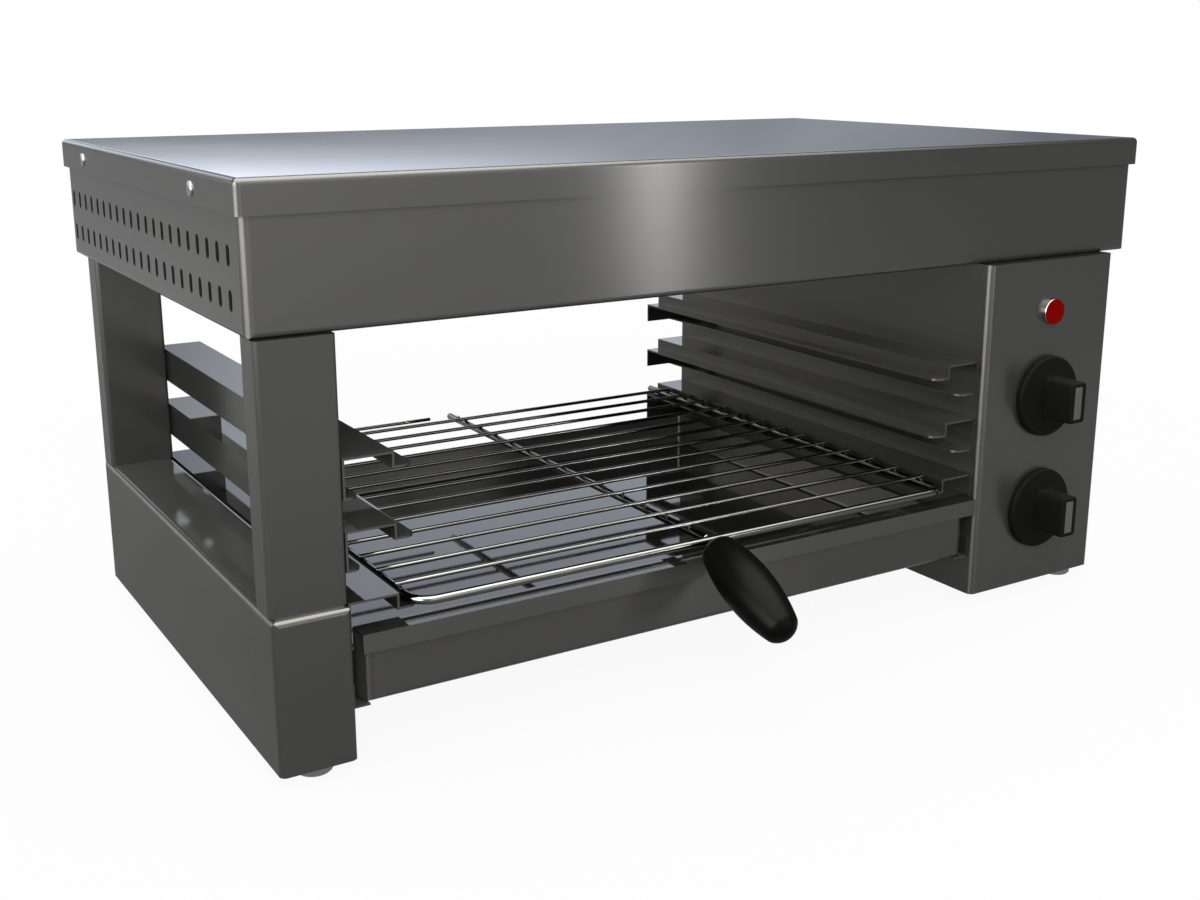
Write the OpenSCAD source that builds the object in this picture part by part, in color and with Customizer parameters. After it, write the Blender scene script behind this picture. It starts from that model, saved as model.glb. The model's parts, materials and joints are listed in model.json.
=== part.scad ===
// Cheese melter: a counter-top toaster with a slotted heater hood, a wire
// grid that slides on bent runners and a crumb tray below it.
// Millimetres, +Z up, +X to the control housing, -Y to the operator.

/* [Node] */
// Node to draw

/* [Lid] */
// Overall width across the lid
lid_w = 600; // [580:5:640]
// Depth of the lid, front to back
lid_d = 352; // [346:2:370]
// Height of the folded lip round the lid
lid_lip = 17; // [15:0.5:22]
// Outer bend radius of the lid
lid_bend = 2.4; // [1.8:0.1:2.4]
// Lid screws from the front and rear edges, before the shift to the rear
lid_screw_in = 62.85; // [40:0.05:80]
// Lid screws below the lid's upper face
lid_screw_drop = 9.5; // [8:0.5:12]

/* [Sheet] */
// Thickness of the body sheet
sheet = 1.2; // [1:0.1:1.5]
// Thickness of the tray, the ledges and the reflector
thin_sheet = 1; // [0.8:0.1:1.2]

/* [Hood] */
// How far the hood walls stand inside the lid, on each side
hood_inset = 2.5; // [2.4:0.1:4]
// Height from the hood's underside to the lid's upper face
hood_height = 73; // [66:1:90]
// Outer radius of the hood's upright corners
hood_corner = 4.5; // [3:0.5:6]
// Outer bend radius of the hood's lower edges
hood_fold = 3; // [2:0.5:4]
// Width of the flange under the lid
hood_flange = 14; // [10:1:20]
// Slots in one row
slot_count = 21; // [11:1:21]
// Width of one slot
slot_w = 5; // [4:0.5:6]
// Length of one slot
slot_len = 10.2; // [8:0.2:12]
// Ends of a row from the hood's front and rear, before the shift to the rear
slot_margin = 15.5; // [14:0.5:30]
// Centre of the lower row above the hood's underside
slot_up = 15.5; // [12:0.5:18]
// Distance between the two rows
slot_row_pitch = 21; // [16:0.5:22]
// How far the slots and lid screws sit behind the lid's middle
vent_shift = 4; // [0:0.5:5]
// Diameter of the hole for the wires over the control housing
wire_hole_d = 30; // [20:1:36]

/* [Heater] */
// Heat window, from the left cavity wall
win_left = 16; // [12:1:30]
// Heat window, from the right cavity wall
win_right = 15; // [12:1:30]
// Heat window, from the base's front face
win_front = 37; // [30:1:45]
// Heat window, from the base's rear face
win_back = 14; // [12:1:20]
// Height of the reflector above the hood's underside
reflector_h = 40; // [34:1:46]
// Width of the reflector's foot flange
reflector_flange = 10; // [8:1:12]
// Diameter of the heating tube
tube_d = 8; // [6:0.5:9]
// Heating tubes' axis above the hood's underside
tube_up = 20; // [16:1:24]
// Outer heating legs from the window's front and rear edges
leg_in = 50; // [44:1:60]
// Bend centre, from the window's left edge
tube_turn = 50; // [40:1:60]
// Cold ends beyond the window's right edge
cold_end = 35; // [20:1:45]
// Diameter of a terminal pin
pin_d = 3; // [2:0.5:4]
// Length of a terminal pin
pin_len = 12; // [8:1:16]
// Distance of a strap from the window's side edges
strap_in = 62; // [54:1:90]
// Lower edge of a strap below the tube axis
strap_drop = 12; // [8:1:14]

/* [Left side] */
// Width of the left base box
base_w = 40; // [36:1:44]
// How much shorter the base is than the lid, front to back
base_short = 21; // [18:1:27]
// Height of the base box's upper face over the table
base_top = 88.5; // [86:0.5:92]
// Left base box, from the lid's left edge
base_inset = 4; // [3:0.5:8]
// How far the base stands in front of the lid
base_forward = 6; // [0:0.5:8]
// Outer bend radius of the base box
base_bend = 3.5; // [2:0.5:5]
// Height of a post, from the base box to the hood
post_h = 133.5; // [128:0.5:160]
// Width of a post
post_w = 39.7; // [34:0.1:40]
// Thickness of a post, front to back
post_t = 20.5; // [16:0.5:26]
// Front post behind the base's front face
post_set = 5; // [4:0.5:8]
// Rear post in front of the base's rear face
post_back = 0.5; // [0.5:0.5:4]
// Outer bend radius of a post
post_bend = 2.5; // [2:0.5:4]

/* [Control housing] */
// Width of the control housing
housing_w = 111.5; // [105:0.5:120]
// Control housing, from the lid's right edge
housing_inset = 23.5; // [20:0.5:30]
// Outer bend radius of the housing
housing_bend = 4; // [3:0.5:5]
// Width of the flange that the side cover is screwed to
return_w = 18; // [14:1:22]
// Side cover inside the housing's edges
cover_in = 6; // [5:0.5:8]
// Screws of the side cover, from the housing's edges
cover_screw_in = 12; // [11:0.5:13]
// Height of the upper cover screws below the hood
cover_screw_drop = 20; // [15:1:40]

/* [Panel parts] */
// Axes of the lamp and of the two knobs up the panel, as shares
panel_shares = [0.8458, 0.5888, 0.2374];
// Diameter of the lamp's bezel
bezel_d = 16.5; // [14:0.5:20]
// How far the bezel stands out
bezel_h = 3.6; // [2:0.2:5]
// Thickness of the lens in front of the bezel
lens_h = 1.2; // [1:0.2:2]
// Diameter of the lens in front of the bezel
lens_d = 16; // [13.5:0.5:16]
// Diameter of the lens's plug inside the bezel
plug_d = 12.8; // [10:0.1:13]
// Diameter of the lamp's neck in the panel
lamp_neck_d = 11; // [8:0.5:12]
// Diameter of the lamp's inner flange
lamp_flange_d = 16; // [14:0.5:18]
// Thickness of the lamp's inner flange
lamp_flange_h = 3; // [2:0.5:4]
// Depth of the lamp behind the panel
lamp_deep = 28; // [20:1:40]
// Diameter of a knob's skirt
skirt_d = 52.5; // [48:0.5:54]
// Front of the skirt, from the panel
skirt_front = 5; // [4:0.2:6]
// Gap between the skirt and the panel
skirt_gap = 0.5; // [0.4:0.1:0.8]
// Rounding at the skirt's front edge
skirt_round = 2; // [1:0.5:3]
// Width of the grip bar
grip_w = 14; // [11:0.2:15]
// Length of the grip bar, along its pointer
grip_len = 26; // [25:0.5:30]
// Front of the grip bar, from the panel
grip_front = 27.5; // [24:0.5:30]
// Corner radius of the grip bar
grip_round = 2; // [1.5:0.5:3]
// Width of the pale inlay in the grip
inlay_w = 6.5; // [4:0.5:7]
// Length of the pale inlay
inlay_len = 21; // [16:0.5:21]
// Thickness of the inlay
inlay_t = 0.8; // [0.6:0.1:1.2]
// Diameter of a regulator shaft
shaft_d = 6; // [5:0.5:6]
// Shaft inside the regulator
shaft_deep = 15; // [10:1:18]
// Shaft end behind the grip's front
shaft_short = 8; // [6:1:12]
// Running clearance round a shaft, on the diameter
running_fit = 0.1; // [0.06:0.02:0.18]
// Width and height of an energy regulator
regulator_w = 38; // [34:1:40]
// Depth of an energy regulator
regulator_d = 28; // [24:1:34]
// Diameter of the regulator's collar in the panel
collar_d = 10; // [9:0.5:12]
// Width of a blade terminal
blade_w = 6.3; // [4.8:0.1:6.3]
// Thickness of a blade terminal
blade_t = 0.8; // [0.5:0.1:1]
// Length of a blade terminal
blade_len = 8; // [6:0.5:10]

/* [Mains inlet] */
// Length of the terminal block
block_len = 60; // [50:1:70]
// Depth of the terminal block
block_d = 20; // [16:1:24]
// Height of the terminal block
block_h = 17; // [14:1:20]
// Terminal block in front of the housing's rear face
block_back = 45; // [35:1:60]
// Diameter of a wire entry in the terminal block
entry_d = 5; // [4:0.5:6]
// Diameter of a terminal screw's hole
clamp_d = 3.5; // [3:0.5:3.5]
// Height of the cable gland's axis
gland_z = 45; // [42:1:60]
// Width across the flats of the gland's nuts
gland_af = 22; // [20:1:24]
// Thickness of the gland's nuts
gland_nut_h = 5; // [4:0.5:6]
// Diameter of the gland's neck
gland_neck_d = 16; // [14:0.5:16]
// Diameter of the gland's dome
gland_dome_d = 19; // [17:0.5:19]
// Length of the gland's dome
gland_dome_h = 9; // [7:0.5:10]
// Bore of the gland
gland_bore_d = 9; // [7:0.5:10]

/* [Screws and feet] */
// Diameter of a pan head
head_d = 8; // [7:0.5:9]
// Height of a pan head
head_h = 2.2; // [1.6:0.2:2.6]
// Diameter of a screw
screw_d = 4; // [3.5:0.5:4.5]
// Length of a screw under its head
screw_len = 10; // [7:0.5:12]
// Width of the driver slot in a head
driver_w = 1; // [0.8:0.1:1.2]
// Diameter of a foot
foot_d = 19; // [16:0.5:20]
// Height of a foot
foot_h = 8; // [7:0.5:12]
// Chamfer at the foot's lower edge
foot_bevel = 1; // [0.5:0.5:2]
// Foot axis from the front or rear face
foot_in = 17; // [15:0.5:30]
// Left foot axis from the base box's left face
foot_left_in = 22.5; // [17:0.5:22.5]
// Right foot axis from the housing's right face
foot_right_in = 12; // [12:0.5:30]
// Diameter of the foot's stud
stud_d = 5; // [4:0.5:6]
// Length of the foot's stud
stud_len = 8; // [6:0.5:12]

/* [Runners] */
// Height from one runner to the next
level_pitch = 36.5; // [32:0.5:38]
// Runner front behind the base's front face
runner_set = 5.5; // [5.5:0.5:10]
// Runner end in front of the base's rear face
runner_back = 5.5; // [4:0.5:20]
// Width of a right runner's upper flange
right_top_w = 25.4; // [22:0.1:26]
// Width of a left runner's upper flange
left_top_w = 26.8; // [22:0.1:28]
// Height from the upper flange to the lip
lip_drop = 7.5; // [7.5:0.1:8]
// Width of the lip that carries the grid
lip_w = 10.4; // [8:0.1:12]
// Rounding at the front corner of lips and returns
lip_round = 6; // [3:0.5:7]
// Height of a wall plate
plate_h = 21; // [18:0.5:24]
// Width of the right return flange
right_return_w = 15.4; // [10:0.1:16]
// Width of the left return flange
left_return_w = 8.6; // [8:0.1:16]
// Height of the lowest runners' wall plate
low_plate_h = 14.5; // [12:0.5:15]
// Height of the lowest runners' end plate
low_tail_h = 28.5; // [24:0.5:29]

/* [Wire grid] */
// Diameter of the frame wire and of the middle rod
frame_wire_d = 4.8; // [4:0.1:5]
// Diameter of the cross wires
cross_wire_d = 2.5; // [2:0.1:3]
// Cross wires, without the short one at the back
cross_count = 13; // [8:1:13]
// First cross wire, from the base's rear face
cross_back = 25.3; // [24:0.1:30]
// Last cross wire, from the base's front face
cross_front = 20.9; // [18:0.1:30]
// Short cross wire, from the base's rear face
short_back = 12.5; // [10:0.5:16]
// Length of the short cross wire
short_len = 159; // [120:1:170]
// Grid's left side, from the left cavity wall
grid_left = 30.8; // [30:0.1:34]
// Grid's right side, from the right cavity wall
grid_right = 27; // [26.8:0.1:30]
// Bend radius of the frame wire's axis
grid_corner = 12; // [8:0.5:16]
// Middle rod beyond the base's rear face
rod_tail = 2; // [0:0.5:4]
// Gap between the grid and the lips it slides on
slide_gap = 0.3; // [0.3:0.05:0.5]
// Hair gap where two wires are welded
weld_gap = 0.02; // [0.02:0.01:0.05]

/* [Handle] */
// Length of the handle
handle_len = 73.7; // [66:0.1:84]
// Radius that the handle's barrel has at its upper end
handle_neck_r = 9; // [8:0.5:11]
// Largest radius of the handle
handle_max_r = 14.5; // [12:0.5:15]
// Place of the largest radius along the handle, as a share
handle_max_share = 0.48; // [0.44:0.01:0.55]
// Radius that rounds the handle's upper end
handle_cap_r = 11.9; // [10.9:0.1:13]
// Radius of the handle's tip
handle_tip_r = 11.4; // [10:0.1:12]
// Slope of the handle
handle_tilt = 24.5; // [20:0.1:26]
// Handle end from the front wire's axis
handle_gap = 4.1; // [3:0.1:6]
// Diameter of the handle's stud
tang_d = 5; // [4:0.5:6]
// Length of the handle's stud inside the handle
tang_len = 34; // [20:1:50]

/* [Crumb tray] */
// Tray from the left cavity wall
tray_left = 5; // [4:0.5:8]
// Tray from the right cavity wall
tray_right = 2; // [2:0.5:4]
// Tray front behind the base's front face
tray_set = 4.5; // [4:0.5:6]
// Tray back in front of the base's rear face
tray_back = 3; // [2:0.5:6]
// Underside of the tray over the table
tray_bottom = 34.5; // [34:0.5:38]
// Tray's side and rear walls, below the base box's upper face
tray_wall_drop = 30; // [30:0.5:40]
// Radius of the tray's front corners
tray_corner = 10; // [6:0.5:12]
// Bend radius of the tray's floor and rear corners
tray_bend = 3; // [2:0.5:4]
// Upper face of the rail, below the base box's upper face
rail_below = 16; // [16:0.5:20]
// Height of the rail's lip
rail_drop = 10; // [8:0.5:14]
// Depth of the rail, front to back
rail_d = 13.5; // [11:0.5:16]
// Rail front behind the base's front face
rail_set = 0.5; // [0.5:0.1:2]
// Rail's right end from the right cavity wall
rail_right = 0.8; // [0.6:0.1:2]
// Width of the left ledge
ledge_left_w = 9; // [8:0.5:12]
// Width of the right ledge
ledge_right_w = 12; // [9:0.5:14]
// Height of a ledge's wall leg
ledge_leg = 12.8; // [8:0.2:14]
// Height of a cross member
beam_h = 20; // [16:1:22]
// Width of a cross member
beam_w = 30; // [24:1:36]
// Front cross member, from the base's front face
beam_front = 64; // [62:1:90]
// Rear cross member, from the base's rear face
beam_back = 29; // [20:1:60]

/* [Hidden] */

$fn = 48;
steel = [0.55, 0.55, 0.54];
dark_steel = [0.42, 0.42, 0.42];
bright = [0.75, 0.75, 0.76];
black = [0.06, 0.06, 0.06];
red = [0.75, 0.04, 0.05];
pale = [0.62, 0.63, 0.64];
brass = [0.72, 0.58, 0.28];

// One overrun for every cut, and the fit of a plate in its frame.
over = sheet * 2;
seat_gap = sheet / 6;
hole_gap = sheet / 3;

// Grid handle: barrel radius, and how far it reaches from the lid's middle.
handle_rise = handle_max_r - handle_neck_r;
handle_max_at = handle_len * handle_max_share;
barrel_r = (handle_max_at * handle_max_at + handle_rise * handle_rise) / (2 * handle_rise);
handle_reach = lid_d / 2 + base_forward
  + (handle_gap + handle_len - handle_tip_r) * cos(handle_tilt) + handle_tip_r;

// The origin is the middle of the bounding box, on the table.
lid_y = (handle_reach - lid_d / 2) / 2;
lid_x1 = lid_w / 2;
lid_front = lid_y - lid_d / 2;
base_d = lid_d - base_short;
hood_bottom = base_top + post_h;
lid_top = hood_bottom + hood_height;
lid_under = lid_top - sheet;
lid_screw_z = lid_top - lid_screw_drop;
lid_screw_half = lid_d / 2 - lid_screw_in;
hood_w = lid_w - 2 * hood_inset;
hood_d = lid_d - 2 * hood_inset;
hood_x1 = hood_w / 2;
hood_h = lid_under - hood_bottom;
hood_deck = hood_bottom + sheet;
vent_y = lid_y + vent_shift;
slot_pitch = (hood_d - 2 * slot_margin) / (slot_count - 1);
slot_rows = [hood_bottom + slot_up, hood_bottom + slot_up + slot_row_pitch];

// Base, housing and the cavity between them.
base_x0 = base_inset - lid_x1;
cav_x0 = base_x0 + base_w;
hous_x1 = lid_x1 - housing_inset;
cav_x1 = hous_x1 - housing_w;
panel_x = (cav_x1 + hous_x1) / 2;
front_y = lid_front - base_forward;
rear_y = front_y + base_d;
panel_in = front_y + sheet;
base_h = base_top - foot_h;
housing_h = hood_bottom - foot_h;
lamp_z = foot_h + housing_h * panel_shares[0];
knob_upper_z = foot_h + housing_h * panel_shares[1];
knob_lower_z = foot_h + housing_h * panel_shares[2];
post_front_y = front_y + post_set;
post_rear_y = rear_y - post_back - post_t;

// Heat window and heating legs.
win_x0 = cav_x0 + win_left;
win_x1 = cav_x1 - win_right;
win_y0 = front_y + win_front;
win_y1 = rear_y - win_back;
leg_y0 = win_y0 + leg_in;
leg_pitch = (win_y1 - win_y0 - 2 * leg_in) / 3;
tube_z = hood_bottom + tube_up;
reflector_top = hood_bottom + reflector_h;
refl_under = reflector_top - thin_sheet;

// Runners.
runner_y0 = front_y + runner_set;
runner_len = base_d - runner_set - runner_back;
lip_low = base_top - lip_drop;

// Grid.
grid_z = lip_low + slide_gap + frame_wire_d / 2;
grid_x0 = cav_x0 + grid_left + frame_wire_d / 2;
grid_x1 = cav_x1 - grid_right - frame_wire_d / 2;
grid_mid = (grid_x0 + grid_x1) / 2;
cross_z = grid_z + frame_wire_d / 2 + cross_wire_d / 2 + weld_gap;
wire_touch = frame_wire_d / 2 + weld_gap;
cross_pitch = (base_d - cross_back - cross_front) / (cross_count - 1);

// Tray.
tray_x0 = cav_x0 + tray_left;
tray_x1 = cav_x1 - tray_right;
tray_y0 = front_y + tray_set;
tray_y1 = rear_y - tray_back;
rail_top = base_top - rail_below;
tray_top = rail_top - sheet;
tray_wall_top = base_top - tray_wall_drop;
ledge_top = tray_bottom - slide_gap;
beam_top = ledge_top - thin_sheet;

// Section: shared shapes.

// A block given by its two corners.
module block(x0, x1, y0, y1, z0, z1) {
  translate([x0, y0, z0]) cube([x1 - x0, y1 - y0, z1 - z0]);
}

// Round bars along one axis.
module bar_x(x0, x1, y, z, d) {
  translate([x0, y, z]) rotate([0, 90, 0]) cylinder(h = x1 - x0, d = d);
}
module bar_y(y0, y1, x, z, d) {
  translate([x, y0, z]) rotate([-90, 0, 0]) cylinder(h = y1 - y0, d = d);
}

// A rectangle with one corner radius in front and one behind.
module plan(x0, x1, y0, y1, rf, rb) {
  translate([x0 + rf, y0]) square([x1 - x0 - 2 * rf, y1 - y0]);
  translate([x0, y0 + rf]) square([x1 - x0, y1 - y0 - rf - rb]);
  translate([x0 + rb, y0 + rf]) square([x1 - x0 - 2 * rb, y1 - y0 - rf]);
  for (x = [x0 + rf, x1 - rf]) translate([x, y0 + rf]) circle(rf);
  for (x = [x0 + rb, x1 - rb]) translate([x, y1 - rb]) circle(rb);
}

// An outline w wide and from z0 to z1, rounded at the top or at the bottom.
module fold_top(x0, x1, z0, z1, r) {
  translate([x0, z0]) square([x1 - x0, z1 - z0 - r]);
  translate([x0 + r, z0]) square([x1 - x0 - 2 * r, z1 - z0]);
  for (x = [x0 + r, x1 - r]) translate([x, z1 - r]) circle(r);
}
module fold_low(x0, x1, z0, z1, r) {
  translate([x0, z0 + r]) square([x1 - x0, z1 - z0 - r]);
  translate([x0 + r, z0]) square([x1 - x0 - 2 * r, z1 - z0]);
  for (x = [x0 + r, x1 - r]) translate([x, z0 + r]) circle(r);
}

// Bodies of folded sheet: upright corners of radius rf and rb, and the
// edges of the top (cap) or of the floor (pan) of radius r.
module cap(x0, x1, y0, y1, z0, z1, rf, rb, r) {
  intersection() {
    translate([0, 0, z0]) linear_extrude(z1 - z0) plan(x0, x1, y0, y1, rf, rb);
    translate([0, y1, 0]) rotate([90, 0, 0]) linear_extrude(y1 - y0)
      fold_top(x0, x1, z0, z1, r);
    translate([x0, 0, 0]) rotate([90, 0, 90]) linear_extrude(x1 - x0)
      fold_top(y0, y1, z0, z1, r);
  }
}
module pan(x0, x1, y0, y1, z0, z1, rf, rb, r) {
  intersection() {
    translate([0, 0, z0]) linear_extrude(z1 - z0) plan(x0, x1, y0, y1, rf, rb);
    translate([0, y1, 0]) rotate([90, 0, 0]) linear_extrude(y1 - y0)
      fold_low(x0, x1, z0, z1, r);
    translate([x0, 0, 0]) rotate([90, 0, 90]) linear_extrude(x1 - x0)
      fold_low(y0, y1, z0, z1, r);
  }
}

// A pan-head screw: head outside of x = 0, shank to -X.
module pan_screw() {
  difference() {
    union() {
      rotate([0, 90, 0]) cylinder(h = head_h / 2, d = head_d);
      translate([head_h / 2, 0, 0]) rotate([0, 90, 0])
        cylinder(h = head_h / 2, d1 = head_d, d2 = head_d * 0.7);
    }
    block(head_h / 2, head_h + over, -head_d, head_d, -driver_w / 2, driver_w / 2);
  }
  bar_x(-screw_len, 0, 0, 0, screw_d);
}

// Section: lid and hood.

module lid() {
  color(steel) difference() {
    cap(-lid_x1, lid_x1, lid_front, lid_front + lid_d, lid_top - lid_lip, lid_top,
      lid_bend, lid_bend, lid_bend);
    cap(sheet - lid_x1, lid_x1 - sheet, lid_front + sheet, lid_front + lid_d - sheet,
      lid_top - lid_lip - over, lid_under, lid_bend - sheet, lid_bend - sheet,
      lid_bend - sheet);
    for (s = [-1, 1])
      bar_x(-lid_x1 - over, lid_x1 + over, vent_y + s * lid_screw_half, lid_screw_z,
        screw_d + hole_gap);
  }
}

module lid_screws() {
  color(bright) for (side = [0, 1], s = [-1, 1])
    mirror([side, 0, 0]) translate([lid_x1, vent_y + s * lid_screw_half, lid_screw_z])
      pan_screw();
}

// One upright slot of the side vents, as an outline.
module slot_outline() {
  reach = (slot_len - slot_w) / 2;
  square([slot_w, 2 * reach], center = true);
  for (s = [-1, 1]) translate([0, s * reach]) circle(d = slot_w);
}

module hood_shell() {
  y0 = lid_front + hood_inset;
  y1 = y0 + hood_d;
  color(steel) difference() {
    pan(-hood_x1, hood_x1, y0, y1, hood_bottom, lid_under, hood_corner, hood_corner,
      hood_fold);
    pan(sheet - hood_x1, hood_x1 - sheet, y0 + sheet, y1 - sheet, hood_deck,
      lid_under - sheet, hood_corner - sheet, hood_corner - sheet, hood_fold - sheet);
    block(hood_flange - hood_x1, hood_x1 - hood_flange, y0 + hood_flange,
      y1 - hood_flange, lid_under - 2 * sheet, lid_under + over);
    block(win_x0, win_x1, win_y0, win_y1, hood_bottom - over, hood_deck + over);
    translate([-hood_x1 - over, 0, 0]) rotate([90, 0, 90])
      linear_extrude(hood_w + 2 * over)
      for (z = slot_rows, i = [0 : slot_count - 1])
        translate([vent_y + (i - (slot_count - 1) / 2) * slot_pitch, z]) slot_outline();
    for (s = [-1, 1])
      bar_x(-hood_x1 - over, hood_x1 + over, vent_y + s * lid_screw_half, lid_screw_z,
        screw_d + running_fit);
    translate([panel_x, lid_y, hood_bottom - over]) cylinder(h = sheet + 2 * over,
      d = wire_hole_d);
  }
}

// Inverted trough over the heat window, on the hood's deck.
module reflector() {
  color(bright) difference() {
    union() {
      block(win_x0 - thin_sheet, win_x1 + thin_sheet, win_y0 - thin_sheet,
        win_y1 + thin_sheet, hood_deck, reflector_top);
      block(win_x0 - reflector_flange, win_x1 + reflector_flange,
        win_y0 - reflector_flange, win_y1 + reflector_flange, hood_deck,
        hood_deck + thin_sheet);
    }
    block(win_x0, win_x1, win_y0, win_y1, hood_deck - over, refl_under);
    for (i = [0 : 3])
      bar_x(win_x1 - over, win_x1 + thin_sheet + over, leg_y0 + i * leg_pitch, tube_z,
        tube_d + hole_gap);
  }
}

// A U-shaped heating tube with its two cold ends to the right.
module heating_tube(first) {
  turn_x = win_x0 + tube_turn;
  len = win_x1 + cold_end - turn_x;
  translate([turn_x, leg_y0 + (first + 0.5) * leg_pitch, tube_z]) {
    for (s = [-1, 1]) {
      bar_x(0, len, s * leg_pitch / 2, 0, tube_d);
      bar_x(len, len + pin_len, s * leg_pitch / 2, 0, pin_d);
    }
    for (a = [90, 180]) rotate([0, 0, a]) rotate_extrude(angle = 90)
      translate([leg_pitch / 2, 0]) circle(d = tube_d);
  }
}

module heating_element_front() {
  color(dark_steel) heating_tube(0);
}

module heating_element_rear() {
  color(dark_steel) heating_tube(2);
}

// A strap under the reflector's roof that the four legs run through.
module strap(x) {
  difference() {
    block(x - sheet / 2, x + sheet / 2, win_y0 + hole_gap, win_y1 - hole_gap,
      tube_z - strap_drop, refl_under);
    for (i = [0 : 3])
      bar_x(x - over, x + over, leg_y0 + i * leg_pitch, tube_z, tube_d + running_fit);
  }
}

module element_strap_left() {
  color(bright) strap(win_x0 + strap_in);
}

module element_strap_right() {
  color(bright) strap(win_x1 - strap_in);
}

// Section: left side.

// Bent post with a closed upper end.
module post(y) {
  x0 = cav_x0 - post_w;
  translate([0, 0, base_top]) difference() {
    linear_extrude(post_h) plan(x0, cav_x0, y, y + post_t, post_bend, post_bend);
    translate([0, 0, -over]) linear_extrude(post_h - sheet + over)
      plan(x0 + sheet, cav_x0 - sheet, y + sheet, y + post_t - sheet, post_bend - sheet,
        post_bend - sheet);
  }
}

module front_post() {
  color(steel) post(post_front_y);
}

module rear_post() {
  color(steel) post(post_rear_y);
}

module base_box() {
  color(steel) difference() {
    cap(base_x0, cav_x0, front_y, rear_y, foot_h, base_top, base_bend, base_bend,
      base_bend);
    cap(base_x0 + sheet, cav_x0 - sheet, front_y + sheet, rear_y - sheet,
      foot_h - over, base_top - sheet, base_bend - sheet, base_bend - sheet,
      base_bend - sheet);
  }
}

// Floor plate inside the lower end of a box, with holes for two foot studs.
module floor_plate(x0, x1, bend, foot_x) {
  r = bend - sheet;
  in = sheet + seat_gap;
  difference() {
    translate([0, 0, foot_h]) linear_extrude(sheet)
      plan(x0 + in, x1 - in, front_y + in, rear_y - in, r, r);
    for (y = [front_y + foot_in, rear_y - foot_in])
      translate([foot_x, y, foot_h - over]) cylinder(h = sheet + 2 * over,
        d = stud_d + hole_gap);
  }
}

module base_floor() {
  color(dark_steel) floor_plate(base_x0, cav_x0, base_bend, base_x0 + foot_left_in);
}

module foot(x, y) {
  translate([x, y, 0]) {
    cylinder(h = foot_bevel, d1 = foot_d - 2 * foot_bevel, d2 = foot_d);
    translate([0, 0, foot_bevel]) cylinder(h = foot_h - foot_bevel, d = foot_d);
    translate([0, 0, foot_h]) cylinder(h = stud_len, d = stud_d);
  }
}

module foot_front_left() {
  color(dark_steel) foot(base_x0 + foot_left_in, front_y + foot_in);
}

module foot_rear_left() {
  color(dark_steel) foot(base_x0 + foot_left_in, rear_y - foot_in);
}

module foot_front_right() {
  color(dark_steel) foot(hous_x1 - foot_right_in, front_y + foot_in);
}

module foot_rear_right() {
  color(dark_steel) foot(hous_x1 - foot_right_in, rear_y - foot_in);
}

// Section: control housing.

// Bent sheet: front panel, cavity wall and rear wall, a return on each side
// of the open right side and a flange on top of the panel.
module control_housing() {
  color(steel) difference() {
    translate([0, 0, foot_h]) linear_extrude(housing_h)
      plan(cav_x1, hous_x1, front_y, rear_y, housing_bend, housing_bend);
    difference() {
      translate([0, 0, foot_h - over]) linear_extrude(housing_h + 2 * over)
        plan(cav_x1 + sheet, hous_x1 - sheet, front_y + sheet, rear_y - sheet,
          housing_bend - sheet, housing_bend - sheet);
      block(cav_x1, hous_x1, front_y, front_y + return_w, hood_bottom - sheet,
        hood_bottom + 2 * over);
    }
    block(hous_x1 - sheet - over, hous_x1 + over, front_y + return_w,
      rear_y - return_w, foot_h - over, hood_bottom + over);
    bar_y(front_y - over, panel_in + over, panel_x, lamp_z, lamp_neck_d + hole_gap);
    for (z = [knob_upper_z, knob_lower_z])
      bar_y(front_y - over, panel_in + over, panel_x, z, collar_d + hole_gap);
    bar_y(rear_y - sheet - over, rear_y + over, panel_x, gland_z,
      gland_neck_d + hole_gap);
    cover_screw_bars(screw_d + running_fit);
  }
}

// Axes of the four cover screws, as bars of diameter d through the sheet.
module cover_screw_bars(d) {
  for (y = [front_y + cover_screw_in, rear_y - cover_screw_in],
      z = [foot_h + cover_screw_drop, hood_bottom - cover_screw_drop])
    bar_x(hous_x1 - sheet - over, hous_x1 + sheet + over, y, z, d);
}

module housing_floor() {
  color(dark_steel) floor_plate(cav_x1, hous_x1, housing_bend, hous_x1 - foot_right_in);
}

module side_cover() {
  color(steel) difference() {
    block(hous_x1, hous_x1 + sheet, front_y + cover_in, rear_y - cover_in,
      foot_h + cover_in, hood_bottom - cover_in);
    cover_screw_bars(screw_d + hole_gap);
  }
}

module cover_screws() {
  color(bright) for (y = [front_y + cover_screw_in, rear_y - cover_screw_in],
      z = [foot_h + cover_screw_drop, hood_bottom - cover_screw_drop])
    translate([hous_x1 + sheet, y, z]) pan_screw();
}

// Section: panel parts.

module lamp_bezel() {
  color(bright) difference() {
    bar_y(front_y - bezel_h, front_y, panel_x, lamp_z, bezel_d);
    bar_y(front_y - bezel_h - over, front_y + over, panel_x, lamp_z,
      plug_d + running_fit);
  }
}

// Red lens in front of the bezel, with its plug down to the lamp's neck.
module lamp_lens() {
  color(red) {
    bar_y(front_y - bezel_h, front_y - thin_sheet, panel_x, lamp_z, plug_d);
    bar_y(front_y - bezel_h - lens_h / 2, front_y - bezel_h, panel_x, lamp_z, lens_d);
    translate([panel_x, front_y - bezel_h - lens_h / 2, lamp_z]) rotate([90, 0, 0])
      cylinder(h = lens_h / 2, d1 = lens_d, d2 = lens_d - 2 * lens_h);
  }
}

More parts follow.
